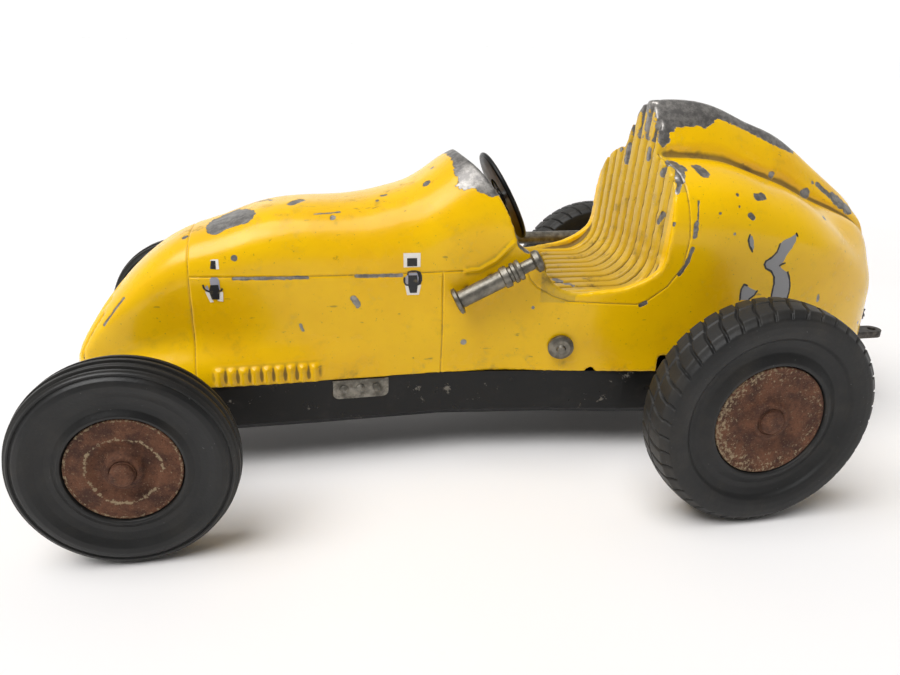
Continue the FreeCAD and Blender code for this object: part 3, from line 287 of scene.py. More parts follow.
MAT = {
    "body": enamel_on_casting(),
    "front_rubber": rubber("front_tyre_rubber", 0.14, 0.33),
    "rear_rubber": rubber("rear_tyre_rubber", 0.20, 0.42),
    "rust": rusty_steel(),
    "aluminium": cast_metal("bare_aluminium", (0.13, 0.12, 0.10, 1), (0.27, 0.25, 0.21, 1), 0.32, 0.8),
    "plate": cast_metal("worn_plate", (0.10, 0.092, 0.075, 1), (0.30, 0.28, 0.24, 1), 0.4, 0.6, 0.9),
    "steel": cast_metal("bright_steel", (0.28, 0.28, 0.285, 1), (0.46, 0.46, 0.47, 1), 0.25, 1.0),
    "dark_steel": cast_metal("dark_steel", (0.045, 0.04, 0.038, 1), (0.14, 0.125, 0.11, 1), 0.42, 0.7),
    "brass": cast_metal("brass_gear", (0.36, 0.22, 0.07, 1), (0.52, 0.35, 0.13, 1), 0.3, 1.0),
    "pan": chipped_black("black_pan_paint", 0.62),
    "wheel_black": chipped_black("black_wheel_enamel", 0.70),
    "white_ink": ink("latch_white", (0.86, 0.82, 0.76, 1)),
    "black_ink": ink("latch_black", BLACK_INK),
    "grey_ink": ink("latch_grey", (0.36, 0.35, 0.40, 1)),
}


# ---- mesh helpers ----------------------------------------------------------------------------
def new_object(name, verts, faces, material, smooth=True):
    mesh = bpy.data.meshes.new(name)
    mesh.from_pydata([tuple(v) for v in verts], [], faces)
    mesh.validate()
    return finish_object(name, mesh, material, smooth)


def finish_object(name, mesh, material, smooth=True):
    obj = bpy.data.objects.new(name, mesh)
    bpy.context.scene.collection.objects.link(obj)
    mesh.materials.clear()
    mesh.materials.append(material)
    mesh.polygons.foreach_set("use_smooth", [smooth] * len(mesh.polygons))
    return obj


def positions(mesh):
    co = np.empty(len(mesh.vertices) * 3)
    mesh.vertices.foreach_get("co", co)
    return co.reshape(-1, 3)


def edge_pairs(mesh):
    pairs = np.empty(len(mesh.edges) * 2, int)
    mesh.edges.foreach_get("vertices", pairs)
    return pairs.reshape(-1, 2)


def put_attribute(mesh, name, values):
    layer = mesh.attributes.new(name, "FLOAT", "POINT")
    layer.data.foreach_set("value", np.asarray(values, np.float32))


def relaxed(co, pairs, passes, share):
    """Positions after some passes that move each vertex towards its neighbours' mean."""
    for _ in range(passes):
        co = co + share * (neighbour_mean(co, pairs) - co)
    return co


def neighbour_mean(values, pairs):
    """Mean of each vertex's neighbours; values has one row per vertex."""
    count = np.bincount(pairs.ravel(), minlength=len(values)).astype(float)
    total = np.empty_like(values)
    for k in range(values.shape[1]):
        total[:, k] = (np.bincount(pairs[:, 0], values[pairs[:, 1], k], len(values))
                       + np.bincount(pairs[:, 1], values[pairs[:, 0], k], len(values)))
    return total / np.maximum(count, 1)[:, None]


def to_segments(points, path):
    """Distance of each point to a chain of straight pieces; 2-D or 3-D."""
    path = np.asarray(path, float)
    if len(path) == 1:
        return np.linalg.norm(points - path[0], axis=1)
    best = np.full(len(points), np.inf)
    for a, b in zip(path[:-1], path[1:]):
        along = b - a
        t = np.clip((points - a) @ along / (along @ along), 0.0, 1.0)
        best = np.minimum(best, np.linalg.norm(points - a - t[:, None] * along, axis=1))
    return best


def to_outline(points, outline):
    """Signed distance of 2-D points to a closed outline, negative inside."""
    outline = np.asarray(outline, float)
    distance = to_segments(points, np.vstack([outline, outline[:1]]))
    inside = np.zeros(len(points), bool)
    for (ax, ay), (bx, by) in zip(outline, np.roll(outline, -1, axis=0)):
        crosses = (ay > points[:, 1]) != (by > points[:, 1])
        level = ax + (points[:, 1] - ay) * (bx - ax) / ((by - ay) or 1e-9)
        inside ^= crosses & (points[:, 0] < level)
    return np.where(inside, -distance, distance)


# ---- the body casting ------------------------------------------------------------------------
NOSE_SEAM_X = 11.1
HOOD_SEAM_X = 74.3
SIDE_SEAM = [(11.1, 54.2), (40.0, 54.3), (74.3, 54.8), (80.0, 54.9)]
COWL_LINE = [(80.0, 54.9), (83.8, 55.2), (88.1, 57.7), (92.3, 62.2)]
COCKPIT_LINE = [(95.8, 55.8), (97.1, 52.5), (99.1, 50.4), (103.3, 48.0), (107.4, 46.7),
                (114.3, 46.4), (125.4, 45.9), (128.1, 46.9), (133.2, 50.8), (136.7, 56.2),
                (137.6, 63.6), (137.0, 71.4), (136.4, 78.9), (134.7, 82.6)]
FIN_SEAM_X = 138.4
FINE_BAND = 0.9              # the mesh is finer this near to seams and the digit
EDGING_HALF = 0.27           # half width of the digit's black edging

# Bare spots: a chain of points on the skin and the half width of the patch along it.
CHIPS = [
    ([(10.0, -7.1, 62.2)], 0.9), ([(37.2, -5.6, 70.1), (39.2, -3.0, 70.3)], 1.3),
    ([(28.2, 4.2, 68.6), (31.0, 3.4, 69.3)], 0.6),
    ([(22.0, -17.0, 53.9), (40.0, -18.7, 54.0)], 0.42),
    ([(52.0, -19.5, 54.2), (63.5, -20.0, 54.2)], 0.42),
    ([(51.4, -19.6, 48.4), (52.4, -19.7, 46.4)], 0.8),
    ([(37.6, -19.2, 41.4), (38.2, -19.4, 39.8)], 0.4),
    ([(47.1, -13.5, 68.1)], 0.8),
    ([(71.7, -9.0, 75.0)], 1.2), ([(60.5, -6.4, 71.5), (61.3, -6.6, 71.6)], 0.6),
    ([(58.9, -8.9, 70.9)], 0.5),
    ([(-5.2, -12.2, 48.4), (-8.0, -12.1, 45.0), (-10.9, -12.0, 41.4)], 0.35),
    ([(42.5, -11.5, 67.6), (49.0, -11.5, 68.5)], 0.25),
    ([(134.7, -1.7, 91.3), (134.7, -1.8, 89.0)], 1.5), ([(135.4, 3.0, 93.8)], 1.2),
    ([(134.1, 7.7, 82.0), (134.0, 7.9, 78.5)], 1.4), ([(133.9, 12.9, 81.0)], 0.8),
    ([(133.9, -5.5, 83.0), (133.9, -5.6, 81.2)], 1.0), ([(133.8, -15.8, 78.8)], 1.3),
    ([(135.8, -15.5, 81.3), (137.6, -18.2, 80.2)], 1.6),
    ([(136.8, -19.3, 79.5), (135.7, -22.0, 77.6)], 1.3),
    ([(135.6, -22.4, 77.2), (134.1, -24.3, 75.0)], 0.6),
    ([(142.6, -17.4, 80.3), (143.2, -20.2, 78.9)], 1.5),
    ([(132.6, -20.2, 68.4), (132.5, -19.0, 66.4)], 0.9), ([(132.9, -27.0, 67.4)], 0.6),
    ([(139.6, -25.5, 73.0), (139.0, -27.6, 67.0)], 0.30),
    ([(139.0, -27.6, 67.6), (138.8, -27.9, 64.2)], 0.6),
    ([(138.6, -28.1, 61.0), (137.4, -28.0, 56.5), (136.0, -27.9, 54.0)], 0.5),
    ([(108.4, -9.5, 48.2), (110.5, -14.0, 48.2)], 1.1), ([(111.5, -15.4, 48.2)], 0.7),
    ([(126.4, -26.9, 45.6), (127.8, -27.0, 46.4)], 0.5),
    ([(184.0, -6.4, 70.6)], 1.7), ([(157.0, -24.2, 73.4), (159.4, -23.3, 73.5)], 1.1),
    ([(171.4, -7.4, 76.3)], 1.1), ([(150.9, -24.8, 74.2)], 0.5), ([(145.4, -27.3, 70.0)], 0.4),
    ([(154.2, -27.0, 69.3), (155.0, -27.0, 68.7)], 0.8), ([(151.0, -26.6, 71.6)], 0.4),
    ([(187.1, -4.5, 73.4)], 0.6), ([(180.8, -25.1, 45.4), (181.1, -25.0, 44.0)], 0.5),
    ([(189.5, -5.5, 73.5), (194.5, -5.5, 69.8)], 0.9), ([(196.0, -5.0, 69.0), (200.5, -4.0, 65.0)], 2.0),
    ([(199.0, -7.0, 64.5), (200.3, -7.8, 60.5)], 0.9), ([(203.0, -1.0, 63.5), (206.0, -1.0, 59.5)], 1.8),
    ([(91.0, -19.5, 69.4), (92.2, -20.5, 66.6), (93.2, -21.0, 64.2), (94.0, -21.6, 61.8)], 0.55),
    ([(94.6, -21.8, 61.2), (96.2, -21.9, 60.0)], 0.7),
    # the far side, which isn't seen, wears the same way
    ([(28.0, 9.0, 66.8), (34.0, 8.0, 68.4)], 1.7), ([(60.0, 12.0, 70.0)], 1.1),
    ([(140.0, 22.0, 77.0), (143.0, 19.0, 79.0)], 1.5), ([(171.0, 20.0, 70.5)], 1.4),
    ([(126.0, 27.5, 62.0)], 0.8), ([(30.0, 18.6, 46.0), (36.0, 19.0, 44.0)], 0.5),
    ([(100.0, 24.0, 38.0)], 0.9), ([(186.0, 22.0, 56.0), (188.0, 21.0, 52.0)], 1.0),
    ([(74.3, 20.0, 50.0), (74.3, 21.0, 40.0)], 0.35), ([(56.0, 19.5, 54.4), (70.0, 20.0, 54.6)], 0.4),
]
# Large worn areas seen from the side, as outlines in x and z.
CROWN_WEAR = [(130.0, 104.0), (133.6, 96.5), (134.9, 93.0), (135.0, 88.8), (134.4, 85.8), (135.9, 84.4),
              (137.6, 85.6), (138.1, 88.2), (139.3, 88.4), (140.2, 89.6), (143.0, 89.6),
              (147.0, 89.9), (149.2, 88.9), (151.0, 90.0), (154.0, 91.6), (160.0, 89.4),
              (168.1, 86.3), (174.0, 83.6), (180.0, 81.6), (184.0, 82.5), (184.0, 104.0)]
COWL_WEAR = [(79.5, 90.0), (78.6, 80.5), (78.1, 79.2), (78.6, 78.0), (78.9, 77.0), (77.9, 75.9),
             (79.6, 75.2), (82.7, 75.5), (84.3, 74.6), (86.0, 73.9), (88.5, 73.8), (100.0, 72.0),
             (100.0, 90.0)]
# The biggest bare spot on the hood, as seen from above in x and y.
HOOD_WEAR = [(15.5, -8.1), (15.3, -2.8), (16.7, 1.3), (19.8, 3.0), (22.8, 3.4), (27.2, -4.5), (28.0, -7.5),
             (27.4, -10.1), (25.4, -11.1), (21.9, -10.4), (19.4, -10.5), (18.0, -11.1), (16.7, -10.1)]
# What is left of the painted digit, and of its black edging, in x and z.
DIGIT_PARTS = [
    [(154.2, 64.2), (154.1, 63.0), (154.8, 61.4), (155.9, 59.8), (156.0, 61.0), (155.6, 62.7), (155.1, 64.0)],
    [(169.4, 63.9), (168.1, 63.3), (165.2, 62.3), (164.1, 61.4), (163.5, 59.3), (162.2, 57.9),
     (160.5, 57.0), (160.2, 56.1), (160.9, 54.9), (162.7, 54.1), (164.0, 52.3), (164.4, 50.3),
     (164.3, 48.0), (164.2, 44.0), (169.5, 44.0), (169.9, 47.6), (169.7, 50.2), (168.3, 53.2),
     (165.6, 54.8), (165.2, 55.9), (166.2, 56.4), (166.6, 58.0), (168.2, 60.1), (169.2, 61.9)],
    [(155.0, 50.8), (154.3, 49.3), (154.7, 46.4), (157.7, 46.2), (158.7, 47.6), (159.4, 48.7),
     (157.7, 49.3), (156.0, 50.3)],
]
DIGIT_EDGING = [
    [(154.3, 64.3), (154.0, 63.0), (154.6, 61.4), (155.8, 59.8)],
    [(164.1, 61.4), (163.5, 59.3), (162.2, 57.9), (160.5, 57.0), (160.2, 56.1), (160.9, 54.9),
     (162.7, 54.1), (164.0, 52.3), (164.4, 50.3), (164.3, 48.0), (164.2, 44.0)],
    [(168.2, 53.4), (169.2, 51.4), (169.8, 49.4), (169.9, 47.6), (169.5, 44.0)],
    [(165.2, 55.5), (166.0, 55.9), (166.8, 56.1)],
    [(169.3, 63.9), (169.8, 63.1)],
    [(156.0, 50.4), (155.0, 50.8), (154.3, 49.3), (154.5, 46.4)],
    [(159.4, 48.7), (158.8, 47.5), (157.4, 46.5)],
]


def remeshed_skin(source):
    """The casting as one even quad mesh, which takes displacement and point attributes."""
    work = bpy.data.objects.new("skin_work", source.data.copy())
    bpy.context.scene.collection.objects.link(work)
    remesh = work.modifiers.new("even", "REMESH")
    remesh.mode = "VOXEL"
    remesh.voxel_size = SKIN_VOXEL
    graph = bpy.context.evaluated_depsgraph_get()
    mesh = bpy.data.meshes.new_from_object(work.evaluated_get(graph))
    bpy.data.objects.remove(work)
    return mesh


def seam_distances(p):
    """Unsigned distance in mm to each pressed line, with a flag for where it is drawn."""
    x, y, z = p.T
    outer = np.abs(y) > 8.0
    side = p[:, [0, 2]]
    lines = [
        (np.abs(x - NOSE_SEAM_X), z < 80.0),
        (np.abs(x - HOOD_SEAM_X), (z < 54.9) & outer),
        (to_segments(side, SIDE_SEAM), outer),
        (to_segments(side, COCKPIT_LINE), outer & (x > 90.0)),
    ]
    distance = np.full(len(p), 9.0)
    for line, drawn in lines:
        distance = np.where(drawn, np.minimum(distance, line), distance)
    return distance


def digit_distance(p):
    side = p[:, [0, 2]]
    distance = np.full(len(p), 9.0)
    for part in DIGIT_PARTS:
        distance = np.minimum(distance, to_outline(side, part))
    return np.where(p[:, 1] < -12.0, distance, 9.0)


def edging_distance(p):
    side = p[:, [0, 2]]
    distance = np.full(len(p), 9.0)
    for stroke in DIGIT_EDGING:
        distance = np.minimum(distance, to_segments(side, stroke))
    return np.where(p[:, 1] < -12.0, distance, 9.0)


def refine(mesh, wanted, cuts):
    """Splits the edges whose two ends are both wanted."""
    pairs = edge_pairs(mesh)
    chosen = np.flatnonzero(wanted[pairs[:, 0]] & wanted[pairs[:, 1]])
    bm = bmesh.new()
    bm.from_mesh(mesh)
    bm.edges.ensure_lookup_table()
    bmesh.ops.subdivide_edges(bm, edges=[bm.edges[i] for i in chosen], cuts=cuts,
                              use_grid_fill=True)
    bm.to_mesh(mesh)
    bm.free()


def chip_distance(p, tree):
    """Signed distance to the bare spots in units of how ragged their edge is."""
    best = np.full(len(p), 9.0)
    for chain, width in CHIPS:
        on_skin = []
        for point in chain:
            near = tree.find_nearest(Vector(at(*point)))[0]
            on_skin.append(in_mm(np.array(near)))
        ragged = 0.10 + 0.22 * min(width, 2.0)
        best = np.minimum(best, (to_segments(p, on_skin) - width) / ragged)
    side = p[:, [0, 2]]
    best = np.minimum(best, to_outline(side, CROWN_WEAR) / 0.5)
    best = np.minimum(best, to_outline(side, COWL_WEAR) / 0.5)
    from_above = np.where(p[:, 2] > 60.0, to_outline(p[:, :2], HOOD_WEAR), 9.0)
    best = np.minimum(best, from_above / 0.5)
    return best


def eased(value, low, high):
    """Smooth step of value from 0 at low to 1 at high."""
    t = np.clip((value - low) / (high - low), 0.0, 1.0)
    return t * t * (3.0 - 2.0 * t)


def tail_fill(p):
    """Backward shift in mm that rounds the tail and fades the crease beside the fin."""
    x, y, z = p.T
    across = np.abs(y)
    ridge = 1.9 * np.exp(-((z - 60.0) / np.where(z < 60.0, 11.0, 18.0)) ** 2)
    crease = 5.2 * np.exp(-((z - 62.0) / 8.0) ** 2) * eased(across, 1.5, 6.0)
    low_side = -1.5 * eased(50.0 - z, 0.0, 12.0) * eased(across, 2.5, 6.0)
    return eased(x, 176.0, 194.0) * (ridge + crease + low_side) * eased(-across, -18.0, -8.5)


def pressed_detail(p, chip):
    """Outward push in mm for seams, bare spots, the raised line on the cowl and a slight wave."""
    x, y, z = p.T
    groove = np.clip(1.0 - seam_distances(p) / 0.36, 0.0, 1.0) ** 0.7
    chipped = np.clip(-chip * 2.0, 0.0, 1.0)
    raised = np.exp(-(to_segments(p[:, [0, 2]], COWL_LINE) / 0.5) ** 2) * (np.abs(y) > 12.0)
    wave = 0.05 * np.sin(x * 0.11 + 1.3) * np.sin(z * 0.16)
    fin_crease = np.exp(-((x - FIN_SEAM_X) / 0.55) ** 2) * (z > 83.0)
    return -0.20 * groove - 0.10 * chipped + 0.32 * raised - 0.07 * fin_crease + wave


def hollows(co, normals, pairs):
    """1 where the skin lies well below its surroundings, 0 where it is level or proud; the enamel darkens
    these places with dirt and painted shade.
    """
    level = relaxed(co, pairs, 14, 0.6)
    sunk = ((level - co) * normals).sum(1) / MM
    return np.clip(sunk / 0.16, 0.0, 1.0)


def mark_skin(mesh, p, chip, hollow):
    """Point attributes that the enamel's material reads."""
    x, y, z = p.T
    across = np.abs(y)
    seat = ((x > 100.0) & (x < 137.0) & (across < 24.5) & (z > 46.5)).astype(float)
    seat_floor = eased(54.0 - z, 0.0, 4.0) * eased(20.5 - across, 0.0, 1.5) * eased(x, 102.0, 106.0)
    # The cockpit floor counts as a hollow, so it is darkened: painted shade and dirt.
    hollow = np.clip(hollow + 0.36 * seat * seat_floor, 0.0, 1.0)
    hood_top = np.exp(-((y + 3.0) / 9.0) ** 2) * (x > 8.0) * (x < 72.0) * (z > 60.0)
    low_edge = np.clip((31.0 - z) / 5.0, 0.0, 1.0)
    handled = np.exp(-((x - 38.0) / 16.0) ** 2 - ((y + 8.0) / 9.0) ** 2) * (z > 55.0)
    put_attribute(mesh, "chip", chip)
    put_attribute(mesh, "digit", digit_distance(p))
    put_attribute(mesh, "digit_ink", edging_distance(p) - EDGING_HALF)
    put_attribute(mesh, "hollow", hollow)
    # Amount of patchy dark dust: dirt on the hood top, more towards the bottom edge, and dirt with painted
    # shade on the seat and in hollows.
    put_attribute(mesh, "dust_and_shade", np.clip(0.20 + 0.55 * hood_top + 0.5 * low_edge + 0.5 * seat + 0.8 * hollow,
                                        0.0, 1.0))
    put_attribute(mesh, "seat", seat)
    put_attribute(mesh, "scuff", np.clip(1.1 * handled + 0.25, 0.0, 1.0))


def body_casting():
    mesh = remeshed_skin(NODES["body_shell"])
    co = positions(mesh)
    co[:, 0] += tail_fill(in_mm(co)) * MM
    mesh.vertices.foreach_set("co", co.ravel())
    p = in_mm(co)
    refine(mesh, (seam_distances(p) < FINE_BAND) | (np.abs(digit_distance(p)) < FINE_BAND), 2)
    pairs = edge_pairs(mesh)
    co = positions(mesh)
    tree = BVHTree.FromPolygons([Vector(v) for v in co], [tuple(f.vertices) for f in mesh.polygons])
    co = relaxed(co, pairs, 4, 0.5)
    mesh.vertices.foreach_set("co", co.ravel())
    mesh.update()
    normals = np.empty(len(mesh.vertices) * 3)
    mesh.vertices.foreach_get("normal", normals)
    normals = normals.reshape(-1, 3)

    p = in_mm(co)
    chip = chip_distance(p, tree)
    co = co + normals * pressed_detail(p, chip)[:, None] * MM
    mesh.vertices.foreach_set("co", co.ravel())
    mark_skin(mesh, p, chip, hollows(co, normals, pairs))
    body = finish_object("body_casting", mesh, MAT["body"])
    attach(body, "chassis")
    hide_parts("body_shell")
    return tree


# ---- latches printed on the hood -----------------------------------------------------------
def ribbon(path, width):
    """Outline of a stroke of constant width along a path."""
    path = np.asarray(path, float)
    ahead = np.gradient(path, axis=0)
    ahead /= np.linalg.norm(ahead, axis=1)[:, None]
    across = np.stack([-ahead[:, 1], ahead[:, 0]], 1) * width / 2
    return np.vstack([path + across, (path - across)[::-1]])


def printed_patch(name, outline, centre, side, lift, material, tree):
    """A thin printed shape laid on the casting's side."""
    bm = bmesh.new()
    ring = [bm.verts.new((u, 0.0, v)) for u, v in outline]
    bm.faces.new(ring)
    bmesh.ops.triangulate(bm, faces=bm.faces[:])
    for _ in range(3):
        long_edges = [e for e in bm.edges if e.calc_length() > 0.6]
        bmesh.ops.subdivide_edges(bm, edges=long_edges, cuts=1)
        bmesh.ops.triangulate(bm, faces=bm.faces[:])
    for vertex in bm.verts:
        x, z = centre[0] + vertex.co.x, centre[1] + vertex.co.z
        start = Vector(at(x, side * 60.0, z))
        hit, normal, _, _ = tree.ray_cast(start, Vector((0.0, -side, 0.0)))
        vertex.co = hit + normal * lift * MM
    bm.normal_update()
    mesh = bpy.data.meshes.new(name)
    bm.to_mesh(mesh)
    bm.free()
    patch = finish_object(name, mesh, material)
    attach(patch, "chassis")


REAR_LATCH = [
    ("white_ink", [(-2.2, 1.95), (2.1, 2.0), (2.15, 5.6), (-2.2, 5.6)]),
    ("black_ink", [(-1.3, 2.2), (1.25, 2.2), (1.25, 4.3), (-1.3, 4.3)]),
    ("white_ink", [(-1.35, -5.4), (1.75, -5.4), (2.3, -2.7), (-1.9, -2.7)]),
    ("grey_ink", [(-1.95, -2.6), (2.05, -2.6), (2.1, -0.2), (1.7, 0.55), (-0.7, 0.55), (-1.8, -0.6)]),
    ("black_ink", [(-0.6, -4.85), (1.2, -4.85), (1.45, -2.2), (1.25, -0.15), (-1.05, -0.15),
                   (-1.05, -2.8)]),
    ("black_ink", ribbon([(-0.9, -2.75), (-1.6, -2.65), (-2.0, -2.0), (-2.1, -1.2), (-1.95, -0.6)], 0.42)),
    ("black_ink", ribbon([(-1.15, -0.1), (-1.05, 0.7), (-0.2, 0.95), (1.0, 0.95), (1.9, 0.6), (2.3, -0.2),
                          (2.35, -1.5), (2.0, -2.4), (1.3, -2.75)], 0.40)),
]
FRONT_LATCH = [
    ("white_ink", [(0.6, 3.9), (1.45, 3.95), (1.4, 6.25), (0.2, 6.25), (-0.6, 6.0)]),
    ("black_ink", [(-0.75, 4.0), (0.7, 3.9), (0.7, 5.9), (-0.4, 5.9), (-0.45, 5.0)]),
    ("white_ink", [(-1.4, -4.5), (-0.5, -4.4), (-0.9, -3.5), (-1.4, -1.6), (-2.4, -1.7)]),
    ("white_ink", [(0.4, -4.1), (1.8, -4.3), (1.95, -1.7), (1.1, -1.7), (0.9, -3.6)]),
    ("grey_ink", [(-0.95, -0.2), (1.35, -1.2), (1.2, 1.5), (0.8, 1.95), (-0.5, 1.95), (-0.95, 1.5)]),
    ("grey_ink", [(-2.3, -0.6), (-1.7, 0.0), (-1.3, -1.5), (-1.7, -1.45)]),
    ("black_ink", [(-0.9, -3.7), (0.9, -3.7), (1.15, -1.6), (0.95, 0.1), (-0.95, 0.0), (-1.4, -1.7)]),
    ("black_ink", ribbon([(-2.75, 0.1), (-2.6, -0.8), (-2.1, -1.35), (-1.2, -1.7)], 0.45)),
    ("black_ink", ribbon([(1.0, -1.6), (1.6, -1.35), (1.95, -0.8)], 0.45)),
]


def hood_latches(tree):
    for place, shapes, centre in (("front", FRONT_LATCH, (17.3, 52.3)), ("rear", REAR_LATCH, (66.3, 54.3))):
        for side_name, side in (("left", -1), ("right", 1)):
            for k, (colour, outline) in enumerate(shapes):
                printed_patch("latch_%s_%s_%d" % (place, side_name, k), outline, centre, side,
                              0.06 + 0.02 * k, MAT[colour], tree)


# ---- wheels -----------------------------------------------------------------------------------
def spun(name, profile, segments, centre, side, material, shift=None):
    """Surface of revolution about a wheel's axis. The profile runs from (outward distance, radius)
    to the same; shift(angle, outward, radius) gives a change of radius in mm."""
    profile = np.asarray(profile, float)
    angles = np.linspace(0.0, 2 * math.pi, segments, endpoint=False)
    out = np.repeat(profile[None, :, 0], segments, 0)
    radius = np.repeat(profile[None, :, 1], segments, 0)
    if shift:
        radius = radius + shift(angles[:, None], out, radius)
    x = centre[0] + radius * np.cos(angles)[:, None]
    z = centre[1] + radius * np.sin(angles)[:, None]
    y = side * out
    points = np.stack([x + FRONT_AXLE_X, y, z], -1).reshape(-1, 3) * MM
    count = len(profile)
    faces = []
    for i in range(segments):
        j = (i + 1) % segments
        for k in range(count - 1):
            quad = (i * count + k, i * count + k + 1, j * count + k + 1, j * count + k)
            faces.append(quad if side < 0 else quad[::-1])
    return new_object(name, points, faces, material)


def rounded(points, radius=0.25, steps=3):
    """Profile with its inner corners rounded by short curves."""
    points = np.asarray(points, float)
    out = [points[0]]
    for before, corner, after in zip(points[:-2], points[1:-1], points[2:]):
        a, b = before - corner, after - corner
        cut = min(radius, 0.45 * np.linalg.norm(a), 0.45 * np.linalg.norm(b))
        start = corner + a / np.linalg.norm(a) * cut
        end = corner + b / np.linalg.norm(b) * cut
        for t in np.linspace(0.0, 1.0, steps + 1):
            out.append((1 - t) ** 2 * start + 2 * t * (1 - t) * corner + t ** 2 * end)
    out.append(points[-1])
    return np.array(out)


def densified(points, step):
    """The same profile with points no further apart than step."""
    out = [points[0]]
    for a, b in zip(points[:-1], points[1:]):
        n = max(1, int(math.ceil(np.linalg.norm(b - a) / step)))
        out += [a + (b - a) * k / n for k in range(1, n + 1)]
    return np.array(out)


def both_sides(half, middle):
    """A tyre's whole profile from the half on its outer side."""
    half = np.asarray(half, float)
    mirror = half[::-1].copy()
    mirror[:, 0] = 2 * middle - mirror[:, 0]
    return np.vstack([half, mirror])


FRONT = dict(radius=24.0, face=56.0, width=10.6, hub=12.1, centre=(0.0, 24.0))
REAR = dict(radius=28.1, face=63.5, width=12.8, hub=13.9, centre=(WHEELBASE, 28.1))
HUB_SETBACK = 1.3


def mark_tread(tyre, wheel):
    """Point attribute that is 1 on the running surface and 0 on the sidewalls."""
    p = in_mm(positions(tyre.data))
    from_axle = np.hypot(p[:, 0] - wheel["centre"][0], p[:, 2] - wheel["centre"][1])
    put_attribute(tyre.data, "tread", np.clip((from_axle - wheel["radius"] + 1.7) / 0.8, 0.0, 1.0))


def front_tyre(side, name, body):
    radius, face, middle = FRONT["radius"], FRONT["face"], FRONT["face"] - FRONT["width"] / 2
    half = [(face - 2.1, 9.9), (face - 2.1, 12.2), (face - 0.9, 12.4), (face - 0.7, 13.0),
            (face - 1.5, 14.3), (face - 1.6, 15.6), (face - 1.1, 17.3), (face - 0.2, 19.0),
            (face, 20.1), (face - 0.3, 21.2), (face - 1.05, 21.95), (face - 0.75, 22.15),
            (face - 0.75, 22.5), (face - 1.1, 22.75)]
    rib_edges = [3.95, 2.75, 2.05, 0.4]
    tread = []
    for k, offset in enumerate(rib_edges):
        crown = radius - 0.045 * offset ** 2
        low = crown - 0.75
        if k % 2 == 0:
            tread += [(middle + offset, crown), (middle + offset - 0.12, low)]
        else:
            tread += [(middle + offset + 0.12, low), (middle + offset, crown)]
    profile = densified(rounded(both_sides(half + tread, middle), 0.16), 0.5)
    tyre = spun(name + "_rubber", profile, 288, FRONT["centre"], side, MAT["front_rubber"])
    mark_tread(tyre, FRONT)
    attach(tyre, body)
    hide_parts(name)


BLOCKS = 42


def tread_cuts(middle):
    """Radius change for thin slanting cuts across the rear tyre's tread."""
    pitch = 2 * math.pi / BLOCKS

    def shift(angle, out, radius):
        across = out - middle
        slant = 0.016 * across + 0.010 * np.sin(across * 0.9)
        phase = ((angle - slant) / pitch) % 1.0
        gap = np.minimum(phase, 1.0 - phase) * pitch * REAR["radius"]
        cut = np.clip((0.42 - gap) / 0.16, 0.0, 1.0)
        outer = np.clip((radius - 25.9) / 0.4, 0.0, 1.0)
        spine = np.clip((0.34 - np.abs(across)) / 0.12, 0.0, 1.0)
        return -0.80 * np.maximum(cut, 0.6 * spine) * outer

    return shift


def rear_tyre(side, name, body):
    radius, face, middle = REAR["radius"], REAR["face"], REAR["face"] - REAR["width"] / 2
    half = [(face - 2.1, 11.6), (face - 2.1, 14.0), (face - 0.9, 14.2), (face - 0.8, 15.0),
            (face - 2.0, 17.2), (face - 2.1, 18.6), (face - 1.5, 20.4), (face - 0.6, 21.2),
            (face - 0.15, 22.6), (face, 24.2), (face - 0.15, 25.6), (face - 0.35, 26.1),
            (middle + 5.3, 26.75), (middle + 4.6, 27.65), (middle + 2.4, 27.97), (middle + 0.5, radius)]
    profile = densified(rounded(both_sides(half, middle), 0.3), 0.4)
    tyre = spun(name + "_rubber", profile, 1260, REAR["centre"], side, MAT["rear_rubber"],
                tread_cuts(middle))
    mark_tread(tyre, REAR)
    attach(tyre, body)
    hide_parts(name)


def ring_wear(turn, from_axle):
    """Broken ring rubbed bright on a front disc."""
    wander = 7.7 + 0.22 * np.sin(3 * turn + 0.6) + 0.12 * np.sin(8 * turn)
    strength = 0.72 + 0.28 * np.sin(2 * turn + 2.2) * np.sin(5 * turn + 0.4)
    return strength * np.exp(-((from_axle - wander) / 0.42) ** 2) + 0.45 * (from_axle > 11.5)


def rim_wear(turn, from_axle):
    """Pale bloom that grows towards a rear disc's rim."""
    lean = 0.85 + 0.35 * np.cos(turn - 3.3)
    return 0.5 * np.clip((from_axle - 6.5) / 7.0, 0.0, 1.0) * lean


def hub_disc(wheel, side, name, body, profile, wear, outward=True):
    """Pressed steel disc; the profile's first number is measured out from the disc's seat."""
    seat = wheel["face"] - HUB_SETBACK
    middle = wheel["face"] - wheel["width"] / 2
    shape = densified(rounded(profile, 0.4), 0.3)
    shape[:, 0] = seat + shape[:, 0] if outward else 2 * middle - (seat + shape[:, 0])
    disc = spun(name + "_disc", shape, 160, wheel["centre"], side, MAT["rust"])
    if not outward:
        disc.data.flip_normals()
    p = in_mm(positions(disc.data))
    dx, dz = p[:, 0] - wheel["centre"][0], p[:, 2] - wheel["centre"][1]
    put_attribute(disc.data, "worn", wear(np.arctan2(dz, dx), np.hypot(dx, dz)))
    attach(disc, body)
    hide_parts(name)


